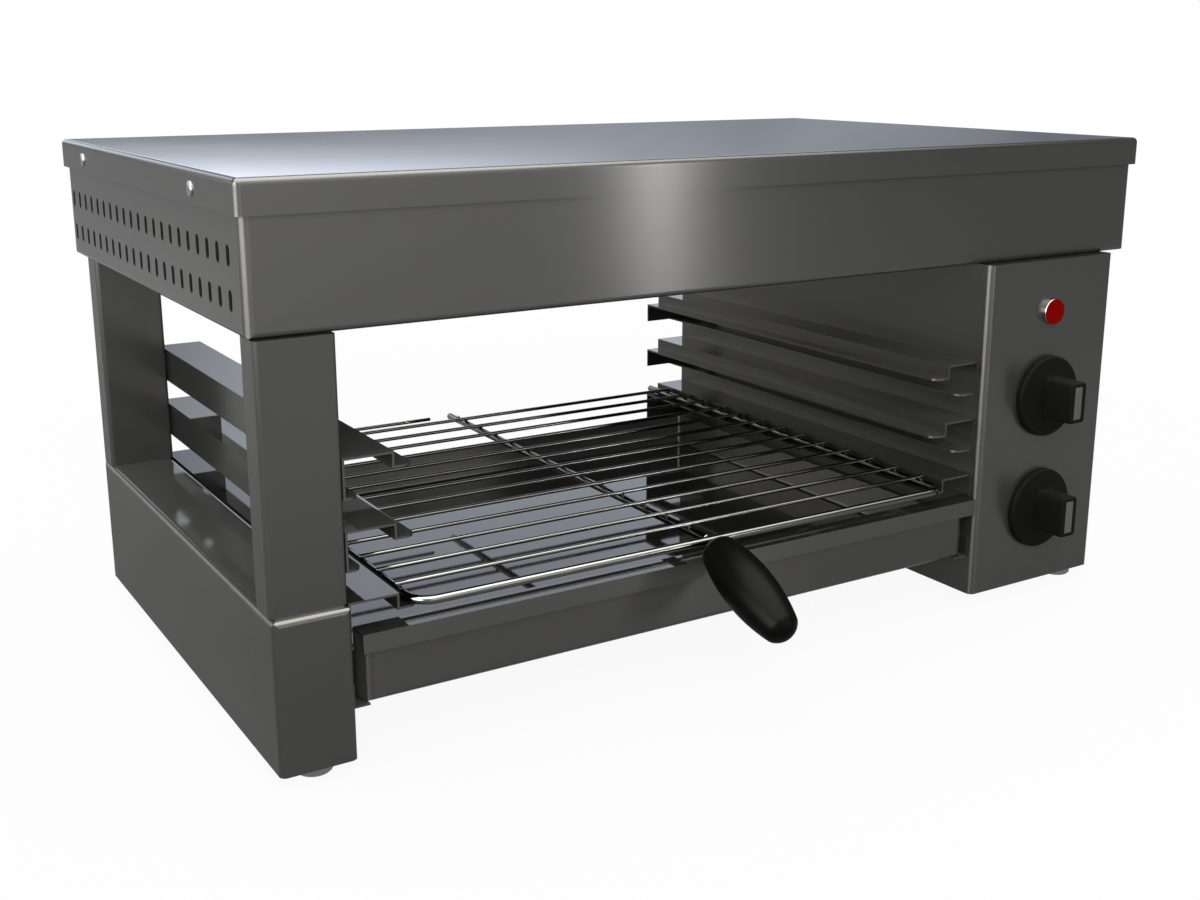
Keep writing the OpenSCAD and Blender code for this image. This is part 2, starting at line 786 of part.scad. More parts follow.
module lamp_body() {
  color(black) {
    bar_y(front_y - thin_sheet, panel_in, panel_x, lamp_z, lamp_neck_d);
    bar_y(panel_in, panel_in + lamp_flange_h, panel_x, lamp_z, lamp_flange_d);
    bar_y(panel_in + lamp_flange_h, panel_in + lamp_deep, panel_x, lamp_z, lamp_neck_d);
    for (s = [-1, 1]) translate([panel_x, panel_in + lamp_deep, lamp_z + s * blade_w / 2])
      translate([-blade_w / 4, 0, -blade_t / 2]) cube([blade_w / 2, blade_len, blade_t]);
  }
}

// Energy regulator behind the panel: case, collar, shaft bore and blades.
module regulator(z) {
  h = regulator_w / 2;
  color(black) difference() {
    union() {
      block(panel_x - h, panel_x + h, panel_in, panel_in + regulator_d, z - h, z + h);
      bar_y(front_y, panel_in, panel_x, z, collar_d);
    }
    bar_y(front_y - over, panel_in + shaft_deep, panel_x, z, shaft_d + running_fit);
  }
  color(brass) for (sx = [-1, 1], sz = [-1, 1])
    translate([panel_x + sx * h / 2 - blade_t / 2, panel_in + regulator_d,
      z + sz * h / 2 - blade_w / 2]) cube([blade_t, blade_len, blade_w]);
}

module regulator_upper() {
  regulator(knob_upper_z);
}

module regulator_lower() {
  regulator(knob_lower_z);
}

module shaft(z) {
  color(bright) bar_y(front_y - grip_front + shaft_short, panel_in + shaft_deep - sheet,
    panel_x, z, shaft_d);
}

module shaft_upper() {
  shaft(knob_upper_z);
}

module shaft_lower() {
  shaft(knob_lower_z);
}

// Knob about its axis: y = 0 is the panel, the grip points to -Y.
module knob(z) {
  plain = skirt_front - skirt_gap - skirt_round;
  color(black) translate([panel_x, front_y, z]) difference() {
    union() {
      translate([0, -skirt_gap, 0]) rotate([90, 0, 0]) rotate_extrude() {
        square([skirt_d / 2, plain]);
        square([skirt_d / 2 - skirt_round, plain + skirt_round]);
        translate([skirt_d / 2 - skirt_round, plain]) circle(skirt_round);
      }
      rotate([90, 0, 0]) translate([0, 0, skirt_gap]) intersection() {
        linear_extrude(grip_front - skirt_gap)
          plan(-grip_w / 2, grip_w / 2, -grip_len / 2, grip_len / 2, grip_round,
            grip_round);
        translate([0, grip_len / 2, 0]) rotate([90, 0, 0]) linear_extrude(grip_len)
          fold_top(-grip_w / 2, grip_w / 2, 0, grip_front - skirt_gap, grip_round / 2);
        translate([-grip_w / 2, 0, 0]) rotate([90, 0, 90]) linear_extrude(grip_w)
          fold_top(-grip_len / 2, grip_len / 2, 0, grip_front - skirt_gap,
            grip_round / 2);
      }
    }
    bar_y(shaft_short - grip_front, over, 0, 0, shaft_d + running_fit);
    block(-inlay_w / 2, inlay_w / 2, -grip_front - over, inlay_t - grip_front,
      -inlay_len / 2, inlay_len / 2);
  }
}

module knob_upper() {
  knob(knob_upper_z);
}

module knob_lower() {
  knob(knob_lower_z);
}

module knob_inlay(z) {
  color(pale) translate([panel_x, front_y - grip_front, z])
    block(-inlay_w / 2, inlay_w / 2, 0, inlay_t, -inlay_len / 2, inlay_len / 2);
}

module knob_inlay_upper() {
  knob_inlay(knob_upper_z);
}

module knob_inlay_lower() {
  knob_inlay(knob_lower_z);
}

// Section: mains inlet.

module terminal_block() {
  y1 = rear_y - block_back;
  z0 = foot_h + sheet;
  poles = 4;
  color(pale) difference() {
    block(panel_x - block_len / 2, panel_x + block_len / 2, y1 - block_d, y1, z0,
      z0 + block_h);
    for (i = [0 : poles - 1]) {
      x = panel_x + (i - (poles - 1) / 2) * block_len / poles;
      bar_y(y1 - block_d - over, y1 + over, x, z0 + block_h / 2, entry_d);
      translate([x, y1 - block_d / 2, z0 + block_h / 2])
        cylinder(h = block_h / 2 + over, d = clamp_d);
    }
  }
}

module cable_gland() {
  hex_d = gland_af / cos(30);
  color(black) difference() {
    union() {
      bar_y(rear_y - sheet - gland_nut_h, rear_y + gland_nut_h, panel_x, gland_z,
        gland_neck_d);
      for (y = [rear_y - sheet - gland_nut_h, rear_y])
        translate([panel_x, y, gland_z]) rotate([-90, 0, 0])
          cylinder(h = gland_nut_h, d = hex_d, $fn = 6);
      translate([panel_x, rear_y + gland_nut_h, gland_z]) rotate([-90, 0, 0])
        cylinder(h = gland_dome_h, d1 = gland_dome_d, d2 = gland_dome_d * 0.8);
    }
    bar_y(rear_y - sheet - gland_nut_h - over, rear_y + gland_nut_h + gland_dome_h + over,
      panel_x, gland_z, gland_bore_d);
  }
}

// Section: runners.

// Flat flange with a rounded front corner on its free side: wall at x = 0,
// free edge at x = w.
module flange(w, z1) {
  translate([0, 0, z1 - sheet]) linear_extrude(sheet) intersection() {
    square([w, runner_len]);
    union() {
      translate([0, lip_round]) square([w, runner_len - lip_round]);
      square([w - lip_round, runner_len]);
      translate([w - lip_round, lip_round]) circle(lip_round);
    }
  }
}

// Bent runner standing on a wall at x = 0 and reaching to +X: upper flange,
// web, lip, wall plate, lower return (where there is one) and end plate.
module runner(top, top_w, plate, return_flange, tail) {
  len = runner_len;
  block(0, top_w, 0, len, top - sheet, top);
  block(0, sheet, 0, len, top - plate, top);
  block(top_w - sheet, top_w, 0, len, top - lip_drop - sheet, top);
  difference() {
    flange(top_w + lip_w, top - lip_drop);
    block(-over, top_w - sheet, -over, len + over, top - lip_drop - sheet - over,
      top - lip_drop + over);
  }
  if (return_flange > 0) flange(return_flange, top - plate + sheet);
  block(0, top_w + lip_w, len - sheet, len, top - tail, top - lip_drop);
}

module left_runner(level, plate, return_flange, tail) {
  color(steel) translate([cav_x0, runner_y0, 0])
    runner(base_top + level * level_pitch, left_top_w, plate, return_flange, tail);
}

module right_runner(level, plate, return_flange, tail) {
  color(steel) translate([cav_x1, runner_y0, 0]) mirror([1, 0, 0])
    runner(base_top + level * level_pitch, right_top_w, plate, return_flange, tail);
}

module runner_left_upper() {
  left_runner(2, plate_h, left_return_w, plate_h);
}

module runner_left_middle() {
  left_runner(1, plate_h, left_return_w, plate_h);
}

module runner_left_lower() {
  left_runner(0, low_plate_h, 0, low_tail_h);
}

module runner_right_upper() {
  right_runner(2, plate_h, right_return_w, plate_h);
}

module runner_right_middle() {
  right_runner(1, plate_h, right_return_w, plate_h);
}

module runner_right_lower() {
  right_runner(0, low_plate_h, 0, low_tail_h);
}

// Section: crumb tray.

module ledge_left() {
  color(steel) {
    block(cav_x0, cav_x0 + ledge_left_w, tray_y0, tray_y1, beam_top, ledge_top);
    block(cav_x0, cav_x0 + thin_sheet, tray_y0, tray_y1, beam_top, beam_top + ledge_leg);
  }
}

module ledge_right() {
  color(steel) {
    block(cav_x1 - ledge_right_w, cav_x1, tray_y0, tray_y1, beam_top, ledge_top);
    block(cav_x1 - thin_sheet, cav_x1, tray_y0, tray_y1, beam_top, beam_top + ledge_leg);
  }
}

// Channel between the base box and the housing, open below.
module cross_member(y0) {
  color(steel) difference() {
    block(cav_x0, cav_x1, y0, y0 + beam_w, beam_top - beam_h, beam_top);
    block(cav_x0 - over, cav_x1 + over, y0 + sheet, y0 + beam_w - sheet,
      beam_top - beam_h - over, beam_top - sheet);
  }
}

module cross_member_front() {
  cross_member(front_y + beam_front);
}

module cross_member_rear() {
  cross_member(rear_y - beam_back - beam_w);
}

module crumb_tray() {
  t = thin_sheet;
  color(bright) difference() {
    pan(tray_x0, tray_x1, tray_y0, tray_y1, tray_bottom, tray_top, tray_corner,
      tray_bend, tray_bend);
    pan(tray_x0 + t, tray_x1 - t, tray_y0 + t, tray_y1 - t, tray_bottom + t,
      tray_top + over, tray_corner - t, tray_bend - t, tray_bend - t);
    block(tray_x0 - over, tray_x1 + over, tray_y0 + tray_corner, tray_y1 + over,
      tray_wall_top, tray_top + over);
  }
}

module tray_rail() {
  y0 = front_y + rail_set;
  x1 = cav_x1 - rail_right;
  color(steel) {
    block(tray_x0, x1, y0, y0 + rail_d, tray_top, rail_top);
    block(tray_x0, x1, y0, y0 + sheet, rail_top - rail_drop, rail_top);
  }
}

// Section: wire grid.

// U-shaped frame wire, open at the back.
module grid_frame() {
  r = grid_corner;
  color(bright) {
    for (x = [grid_x0, grid_x1])
      bar_y(front_y + r, rear_y, x, grid_z, frame_wire_d);
    bar_x(grid_x0 + r, grid_x1 - r, front_y, grid_z, frame_wire_d);
    translate([grid_x0 + r, front_y + r, grid_z]) rotate([0, 0, 180])
      rotate_extrude(angle = 90) translate([r, 0]) circle(d = frame_wire_d);
    translate([grid_x1 - r, front_y + r, grid_z]) rotate([0, 0, 270])
      rotate_extrude(angle = 90) translate([r, 0]) circle(d = frame_wire_d);
  }
}

module grid_cross_wires() {
  half = frame_wire_d / 2;
  color(bright) {
    for (i = [0 : cross_count - 1])
      bar_x(grid_x0 - half, grid_x1 + half, rear_y - cross_back - i * cross_pitch,
        cross_z, cross_wire_d);
    bar_x(grid_x0 - half, grid_x0 - half + short_len, rear_y - short_back, cross_z,
      cross_wire_d);
  }
}

module grid_rod() {
  color(bright) bar_y(front_y + wire_touch, rear_y + rod_tail, grid_mid, grid_z,
    frame_wire_d);
}

// Things along the handle's axis: the front wire's axis is z = 0 here.
module along_handle() {
  translate([grid_mid, front_y, grid_z]) rotate([90 + handle_tilt, 0, 0]) children();
}

module handle_stud() {
  color(bright) along_handle() translate([0, 0, wire_touch])
    cylinder(h = handle_gap + tang_len - wire_touch, d = tang_d);
}

// Turned oval grip: barrel arc, rounded upper end and ball-shaped tip.
module handle() {
  color(black) along_handle() translate([0, 0, handle_gap]) difference() {
    rotate_extrude() intersection() {
      square([handle_max_r + over, handle_len]);
      translate([handle_max_r - barrel_r, handle_max_at]) circle(barrel_r, $fn = 360);
      translate([0, handle_cap_r - sheet]) {
        circle(handle_cap_r);
        square([handle_max_r + over, handle_len]);
      }
      union() {
        square([handle_max_r + over, handle_len - handle_tip_r]);
        translate([0, handle_len - handle_tip_r]) circle(handle_tip_r);
      }
    }
    translate([0, 0, -over]) cylinder(h = tang_len + sheet + over,
      d = tang_d + running_fit);
  }
}

lid();
lid_screws();
hood_shell();
reflector();
heating_element_front();
heating_element_rear();
element_strap_left();
element_strap_right();
front_post();
rear_post();
base_box();
base_floor();
control_housing();
housing_floor();
side_cover();
cover_screws();
foot_front_left();
foot_rear_left();
foot_front_right();
foot_rear_right();
ledge_left();
ledge_right();
cross_member_front();
cross_member_rear();
lamp_bezel();
lamp_lens();
lamp_body();
regulator_upper();
regulator_lower();
shaft_upper();
shaft_lower();
knob_upper();
knob_lower();
knob_inlay_upper();
knob_inlay_lower();
terminal_block();
cable_gland();
runner_left_upper();
runner_left_middle();
runner_left_lower();
runner_right_upper();
runner_right_middle();
runner_right_lower();
crumb_tray();
tray_rail();
grid_frame();
grid_cross_wires();
grid_rod();
handle_stud();
handle();
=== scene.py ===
"""Looks of a counter-top cheese melter: finishes, turned and bent pieces, camera and studio."""

import json
import logging
import math
from dataclasses import dataclass
from enum import Enum

import bpy
import numpy as np
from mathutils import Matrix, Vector

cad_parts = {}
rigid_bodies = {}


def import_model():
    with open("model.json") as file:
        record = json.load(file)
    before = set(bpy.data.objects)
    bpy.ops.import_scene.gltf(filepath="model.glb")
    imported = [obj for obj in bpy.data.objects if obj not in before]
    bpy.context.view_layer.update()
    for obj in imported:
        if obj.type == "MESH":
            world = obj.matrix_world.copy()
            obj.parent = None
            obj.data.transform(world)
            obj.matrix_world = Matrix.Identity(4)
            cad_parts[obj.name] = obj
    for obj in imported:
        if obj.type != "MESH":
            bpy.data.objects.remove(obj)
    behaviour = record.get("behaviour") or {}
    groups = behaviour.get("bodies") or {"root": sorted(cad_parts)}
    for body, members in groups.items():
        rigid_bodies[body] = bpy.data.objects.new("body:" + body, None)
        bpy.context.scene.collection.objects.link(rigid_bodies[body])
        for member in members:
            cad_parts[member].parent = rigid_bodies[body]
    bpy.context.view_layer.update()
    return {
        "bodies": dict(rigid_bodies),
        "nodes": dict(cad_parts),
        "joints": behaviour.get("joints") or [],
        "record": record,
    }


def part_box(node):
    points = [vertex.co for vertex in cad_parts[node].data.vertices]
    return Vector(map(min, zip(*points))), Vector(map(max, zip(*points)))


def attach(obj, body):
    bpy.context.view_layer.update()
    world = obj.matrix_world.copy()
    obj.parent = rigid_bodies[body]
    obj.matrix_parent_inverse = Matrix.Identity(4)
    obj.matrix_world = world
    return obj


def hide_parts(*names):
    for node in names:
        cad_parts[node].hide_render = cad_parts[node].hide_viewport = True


LOG = logging.getLogger("cheese_melter")
MM = 0.001
QUARTER = 0.5 * math.pi
NEAR_AXIS = 0.05
TO_FRONT = np.array([[1.0, 0.0, 0.0], [0.0, 0.0, 1.0], [0.0, -1.0, 0.0]])
Point = tuple[float, float, float]
Colour = tuple[float, float, float]
Pair = tuple[float, float]
Ramp = tuple[float, float, float, float]
Shade = tuple[float, float, float, float]
Socket = bpy.types.NodeSocket
Finish = bpy.types.Material
Inputs = dict[str | int, Socket | float | Point | Shade]
SKIN_SHARE = 0.3


class Grain(Enum):
    """Which way the grinding lines of a sheet run: pattern scales per metre on its walls and on its flats."""

    LEVEL = ((4.0, 4.0, 1900.0), (4.0, 1900.0, 4.0))
    UPRIGHT = ((1900.0, 1900.0, 4.0), (4.0, 1900.0, 4.0))
    LENGTHWISE = ((4.0, 4.0, 1900.0), (1900.0, 4.0, 4.0))


class PaintedLightPart(Enum):
    """Which part of a piece is painted paler as painted light, so that its level faces or its inner walls
    look lit.
    """

    NONE = 0
    FLATS = 1
    INNER_WALLS = 2


class NodePen:
    """Writes the nodes of one procedural material."""

    def __init__(self, name: str) -> None:
        """Starts an empty material of that name."""
        self.material = bpy.data.materials.new(name)
        self.material.use_nodes = True
        self.tree = self.material.node_tree
        self.tree.nodes.clear()
        self.out = self.node("OutputMaterial")

    def node(self, kind: str, inputs: Inputs | None = None, **settings: object) -> bpy.types.Node:
        """Adds a node.

        Args:
            kind: the node's type, without the common prefix.
            inputs: another node's socket or a constant for each input that is set.
            settings: properties of the node.

        Returns:
            The new node.
        """
        made = self.tree.nodes.new("ShaderNode" + kind)
        for key, value in settings.items():
            setattr(made, key, value)
        for key, value in (inputs or {}).items():
            if isinstance(value, Socket):
                self.tree.links.new(value, made.inputs[key])
            else:
                made.inputs[key].default_value = value
        return made

    def shown(self, shader: Socket) -> None:
        """Joins a shader to the output."""
        self.tree.links.new(shader, self.out.inputs["Surface"])

    def finished(self, inputs: Inputs) -> Finish:
        """Ends the material with a principled shader that has these inputs."""
        self.shown(self.node("BsdfPrincipled", inputs).outputs["BSDF"])
        return self.material

    def place(self) -> Socket:
        """Object coordinates, which are metres in the shared frame."""
        return self.node("TexCoord").outputs["Object"]

    def normal(self) -> Socket:
        """The face's normal."""
        return self.node("NewGeometry").outputs["Normal"]

    def parts(self, vector: Socket) -> bpy.types.bpy_prop_collection:
        """A vector's X, Y and Z."""
        return self.node("SeparateXYZ", {"Vector": vector}).outputs

    def along(self, vector: Socket, axis: Point) -> Socket:
        """Dot product of a vector and a fixed one."""
        return self.node("VectorMath", {0: vector, 1: axis}, operation="DOT_PRODUCT").outputs["Value"]

    def crossed(self, first: Socket, second: Socket | Point) -> Socket:
        """Cross product of two vectors."""
        return self.node("VectorMath", {0: first, 1: second}, operation="CROSS_PRODUCT").outputs["Vector"]

    def scaled(self, vector: Socket, scale: Point) -> Socket:
        """A vector times three fixed factors."""
        return self.node("Mapping", {"Vector": vector, "Scale": scale}).outputs["Vector"]

    def noise(self, vector: Socket, scale: float, detail: float = 2.0, rough: float = 0.5) -> Socket:
        """Noise from 0 to 1.

        Args:
            vector: where it is read.
            scale: how many swells per unit.
            detail: octaves.
            rough: weight of the finer octaves.

        Returns:
            The value's socket.
        """
        return self.node("TexNoise", {"Vector": vector, "Scale": scale, "Detail": detail,
                                      "Roughness": rough}).outputs["Fac"]

    def span(self, value: Socket, low: float, high: float, start: float = 0.0, end: float = 1.0,
             smooth: bool = False) -> Socket:
        """Maps start..end to low..high and holds the ends.

        Args:
            value: what is mapped.
            low: the result at start.
            high: the result at end.
            start: lower end of the value's span.
            end: upper end of the value's span.
            smooth: whether the step eases in and out.

        Returns:
            The mapped value's socket.
        """
        return self.node("MapRange", {"Value": value, "From Min": start, "From Max": end, "To Min": low,
                                      "To Max": high},
                         interpolation_type="SMOOTHSTEP" if smooth else "LINEAR").outputs["Result"]

    def blend(self, share: Socket, first: Socket, second: Socket) -> Socket:
        """first where share is 0, second where it is 1."""
        made = self.node("Mix", {"Factor": share, "A": first, "B": second}, data_type="FLOAT")
        return made.outputs["Result"]

    def sums(self, first: Socket, second: Socket | float, operation: str = "ADD") -> Socket:
        """Two values joined by one sum."""
        return self.node("Math", {0: first, 1: second}, operation=operation).outputs["Value"]

    def mixed(self, share: Socket, first: Socket, second: Socket) -> Socket:
        """The first shader where share is 0, the second where it is 1."""
        return self.node("MixShader", {"Fac": share, 1: first, 2: second}).outputs["Shader"]

    def by_ray(self, shader: Socket, others: dict[str, Socket]) -> Socket:
        """A shader that gives way to another for each kind of ray named, the last name first."""
        path = self.node("LightPath")
        for ray, other in others.items():
            shader = self.mixed(path.outputs[ray], shader, other)
        return shader

    def shades(self, value: Socket, first: Colour, second: Colour, start: float = 0.0,
               end: float = 1.0) -> Socket:
        """A colour between two shades, the first up to start and the second from end."""
        made = self.node("ValToRGB", {"Fac": value})
        for step, place, shade in zip(made.color_ramp.elements, (start, end), (first, second)):
            step.position = place
            step.color = (*shade, 1.0)
        return made.outputs["Color"]

    def toned(self, value: Socket, tone: Colour, factors: Pair) -> Socket:
        """Shades of one tone, between its products with two factors."""
        return self.shades(value, *(paler(tone, factor) for factor in factors))

    def bump(self, height: Socket, strength: float, depth: float, normal: Socket | None = None) -> Socket:
        """A normal from a height.

        Args:
            height: 0 to 1.
            strength: share of the effect.
            depth: height of 1 in metres.
            normal: the normal that is tilted, or None for the face's own.

        Returns:
            The normal's socket.
        """
        base = {} if normal is None else {"Normal": normal}
        return self.node("Bump", {"Strength": strength, "Distance": depth, "Height": height,
                                  **base}).outputs["Normal"]

    def flatness(self, start: float = 0.45, end: float = 0.9) -> Socket:
        """1 where a face looks up or down, 0 where it stands: start and end are heights of its normal."""
        size = self.node("Math", {0: self.parts(self.normal())["Z"]}, operation="ABSOLUTE")
        return self.span(size.outputs["Value"], 0.0, 1.0, start, end)


class WorldPen(NodePen):
    """Writes the nodes of the scene's world."""

    def __init__(self, name: str) -> None:
        """Starts an empty world of that name."""
        world = bpy.data.worlds.new(name)
        bpy.context.scene.world = world
        world.use_nodes = True
        self.tree = world.node_tree
        self.tree.nodes.clear()
        self.out = self.node("OutputWorld")

    def back(self, strength: Socket | float, colour: Socket | Shade = (1.0, 1.0, 1.0, 1.0)) -> Socket:
        """A background."""
        return self.node("Background", {"Strength": strength, "Color": colour}).outputs["Background"]


def paler(tone: Colour, factor: float) -> Colour:
    """A tone times a factor, at most 1."""
    return tuple(min(1.0, part * factor) for part in tone)


@dataclass(frozen=True)
class BrushedSteel:
    """Ground stainless sheet: dark at a straight look, bright at a flat one, with fine lines one way."""

    name: str
    tone: Colour = (0.072, 0.071, 0.067)
    grain: Grain = Grain.LEVEL
    wall_rough: float = 0.23
    flat_rough: float = 0.05
    anisotropy: float = 0.93
    line_depth: float = 0.000002
    metal: float = 0.55
    rim: float = 0.95
    lean: float = 0.0
    painted_light_part: PaintedLightPart = PaintedLightPart.NONE
    # painted light: a paler tone laid on the chosen part so that it looks lit
    pale: Colour = (0.2, 0.197, 0.175)
    painted_light_from: Pair = (-0.136, -0.126)
    mark_scale: float = 7.0
    mark_stretch: Point = (1.0, 1.0, 1.6)
    line_noise: tuple[float, float, float] = (1.0, 3.0, 0.6)
    line_share: float = 0.25
    unevenness: float = 0.02
    contrast: Pair = (0.96, 1.04)
    middling: Pair = (0.3, 0.7)

    def material(self) -> Finish:
        """Lines from noise stretched along the grain; a slow swell for handling marks; gloss follows both. A
        paler tone on one part is painted light.
        """
        pen = NodePen(self.name)
        place = pen.place()
        flat = pen.flatness()
        walls, flats = self.grain.value
        lines = pen.blend(flat, *(pen.noise(pen.scaled(place, scales), *self.line_noise)
                                  for scales in (walls, flats)))
        marks = pen.noise(pen.scaled(place, self.mark_stretch), self.mark_scale, 3.0, 0.55)
        mixed = pen.sums(*(pen.span(value, 0.0, 0.5, *self.middling) for value in (lines, marks)))
        shade = pen.toned(mixed, self.tone, self.contrast)
        # painted light: the chosen part gets the paler tone instead of the sheet's own
        if self.painted_light_part is not PaintedLightPart.NONE:
            pale = pen.toned(mixed, self.pale, self.contrast)
            shade = pen.node("Mix", {"Factor": self.painted_light_share(pen, flat), 6: shade, 7: pale},
                             data_type="RGBA").outputs[2]
        wall, level = (pen.span(mixed, rough + uneven, rough - uneven)
                       for rough, uneven in ((self.wall_rough, self.unevenness),
                                             (self.flat_rough, 0.5 * self.unevenness)))
        bump = pen.bump(lines, self.line_share, self.line_depth, self.leaning(pen))
        return pen.finished({"Base Color": shade, "Roughness": pen.blend(flat, wall, level), "Normal": bump,
                             "Metallic": self.metal, "Specular Tint": (self.rim, self.rim, self.rim, 1.0),
                             "Anisotropic": self.anisotropy, "Tangent": self.across(pen)})

    def painted_light_share(self, pen: NodePen, flat: Socket) -> Socket:
        """1 on the part painted paler as painted light: the level faces, or the standing ones behind the
        piece's front face.
        """
        if self.painted_light_part is PaintedLightPart.FLATS:
            return pen.flatness(0.93, 0.99)
        back = pen.span(pen.parts(pen.place())["Y"], 0.0, 1.0, *self.painted_light_from)
        return pen.sums(back, pen.span(flat, 1.0, 0.0), "MULTIPLY")

    def leaning(self, pen: NodePen) -> Socket:
        """The face's normal leaning to the back by a small share, as if the flange rose to its front edge."""
        tipped = pen.node("VectorMath", {0: pen.normal(), 1: (0.0, self.lean, 0.0)}, operation="ADD")
        return pen.node("VectorMath", {0: tipped.outputs["Vector"]}, operation="NORMALIZE").outputs["Vector"]

    def across(self, pen: NodePen) -> Socket:
        """The direction in the face that crosses the grain, along which a reflection is drawn out."""
        lean = (0.02, 0.0, 1.0) if self.grain is Grain.LENGTHWISE else (0.0, 0.02, 1.0)
        first = pen.crossed(pen.normal(), lean)
        return first if self.grain is Grain.UPRIGHT else pen.crossed(first, pen.normal())


@dataclass(frozen=True)
class DrawnWire:
    """Plated or drawn metal: bright, with faint drawing marks."""

    name: str
    tone: Colour = (0.14, 0.14, 0.134)
    rough: float = 0.12
    unevenness: Pair = (-0.02, 0.04)
    contrast: Pair = (0.85, 1.12)
    mark_scale: float = 160.0
    swell_scale: float = 30.0

    def material(self) -> Finish:
        """A slow swell varies the shade and the gloss."""
        pen = NodePen(self.name)
        place = pen.place()
        marks = pen.noise(place, self.mark_scale)
        swell = pen.noise(place, self.swell_scale, 3.0)
        least, most = (self.rough + uneven for uneven in self.unevenness)
        return pen.finished({"Base Color": pen.toned(swell, self.tone, self.contrast),
                             "Roughness": pen.span(marks, least, most), "Metallic": 1.0})


@dataclass(frozen=True)
class MouldedPlastic:
    """Moulded plastic with a fine matt skin."""

    name: str
    tone: Colour = (0.0022, 0.0024, 0.0019)
    rough: float = 0.42
    unevenness: float = 0.05
    contrast: Pair = (0.85, 1.25)
    skin: float = 0.00001
    shine: float = 0.16
    grain_scale: float = 1500.0
    swell_scale: float = 45.0

    def material(self) -> Finish:
        """A fine grain as bump, and a slow swell in shade and gloss."""
        pen = NodePen(self.name)
        place = pen.place()
        fine = pen.noise(place, self.grain_scale)
        swell = pen.noise(place, self.swell_scale, 3.0)
        rough = pen.span(swell, self.rough + self.unevenness, self.rough - self.unevenness)
        return pen.finished({"Base Color": pen.toned(swell, self.tone, self.contrast), "Roughness": rough,
                             "Normal": pen.bump(fine, SKIN_SHARE, self.skin),
                             "Specular IOR Level": self.shine})


@dataclass(frozen=True)
class PilotLens:
    """Red lamp lens: clear tinted plastic over a lit disc."""

    name: str
    tone: Colour = (0.1, 0.0, 0.0)
    contrast: Pair = (0.8, 1.2)
    rough: Pair = (0.16, 0.26)
    shine: float = 0.01
    lit: Shade = (1.0, 0.01, 0.0, 1.0)
    glow: float = 0.08
    speck_scale: float = 420.0

    def material(self) -> Finish:
        """Fine specks break the colour up as a moulded lens does."""
        pen = NodePen(self.name)
        speck = pen.noise(pen.place(), self.speck_scale)
        return pen.finished({"Base Color": pen.toned(speck, self.tone, self.contrast),
                             "Roughness": pen.span(speck, *self.rough), "Specular IOR Level": self.shine,
                             "Emission Color": self.lit, "Emission Strength": self.glow})


@dataclass(frozen=True)
class BakedTube:
    """Heater sheath: matt dark nickel alloy with faint blotches from heat."""

    name: str
    cool: Colour = (0.055, 0.056, 0.052)
    scorched: Colour = (0.10, 0.085, 0.07)
    blotch_scale: float = 60.0
    oxide_scale: float = 1100.0
    skin: float = 0.00005
    rough: Pair = (0.62, 0.45)
    metal: float = 0.7

    def material(self) -> Finish:
        """Blotches between the cool and the scorched shade."""
        pen = NodePen(self.name)
        place = pen.place()
        blotch = pen.noise(place, self.blotch_scale, 4.0, 0.6)
        fine = pen.noise(place, self.oxide_scale)
        return pen.finished({"Base Color": pen.shades(blotch, self.cool, self.scorched),
                             "Roughness": pen.span(blotch, *self.rough),
                             "Normal": pen.bump(fine, SKIN_SHARE, self.skin), "Metallic": self.metal})


@dataclass(frozen=True)
class Steatite:
    """Off-white ceramic with small dark specks."""

    name: str
    tone: Colour = (0.62, 0.60, 0.55)
    contrast: Pair = (1.0, 0.75)
    rough: Pair = (0.45, 0.6)
    speck_scale: float = 500.0
    speck_from: Pair = (0.35, 0.75)

    def material(self) -> Finish:
        """Specks where fine noise is high."""
        pen = NodePen(self.name)
        speck = pen.span(pen.noise(pen.place(), self.speck_scale), 0.0, 1.0, *self.speck_from)
        return pen.finished({"Base Color": pen.toned(speck, self.tone, self.contrast),
                             "Roughness": pen.span(speck, *self.rough)})


@dataclass(frozen=True)
class Workshop:
    """Every finish, made once."""

    sheet: Finish
    upright: Finish
    tray: Finish
    rail: Finish
    runner: Finish
    low_runner: Finish
    base: Finish
    wire: Finish
    screw: Finish
    black: Finish
    grip: Finish
    inlay: Finish
    lens: Finish
    heater: Finish
    ceramic: Finish

    @staticmethod
    def stocked() -> "Workshop":
        """Makes all the finishes."""
        return Workshop(
            sheet=BrushedSteel("brushed_sheet").material(),
            upright=BrushedSteel("brushed_upright", grain=Grain.UPRIGHT).material(),
            # painted light: the tray's inner walls are painted paler so they look lit
            tray=BrushedSteel("tray_sheet", tone=(0.066, 0.065, 0.06), flat_rough=0.025,
                              metal=0.6, painted_light_part=PaintedLightPart.INNER_WALLS).material(),
            rail=BrushedSteel("rail_sheet", flat_rough=0.025, lean=0.016).material(),
            # painted light: the runners' level faces are painted paler so they look lit
            runner=BrushedSteel("runner_sheet", grain=Grain.LENGTHWISE, flat_rough=0.03, metal=0.65,
                                painted_light_part=PaintedLightPart.FLATS).material(),
            low_runner=BrushedSteel("low_runner_sheet", grain=Grain.LENGTHWISE, flat_rough=0.03,
                                    metal=0.65, lean=0.016).material(),
            # painted light: the base's level faces are painted paler so they look lit
            base=BrushedSteel("base_sheet", grain=Grain.UPRIGHT, flat_rough=0.09,
                              painted_light_part=PaintedLightPart.FLATS).material(),
            wire=DrawnWire("bright_wire").material(),
            screw=DrawnWire("plated_screw", tone=(0.34, 0.34, 0.34), rough=0.2).material(),
            black=MouldedPlastic("black_plastic", tone=(0.0042, 0.0044, 0.0036), shine=0.035,
                                 rough=0.58).material(),
            grip=MouldedPlastic("black_grip_plastic", tone=(0.0026, 0.0026, 0.002), shine=0.036,
                                rough=0.36).material(),
            inlay=MouldedPlastic("pale_inlay", tone=(0.075, 0.075, 0.072), rough=0.4).material(),
            lens=PilotLens("red_lens").material(),
            heater=BakedTube("heater_sheath").material(),
            ceramic=Steatite("white_ceramic").material(),
        )


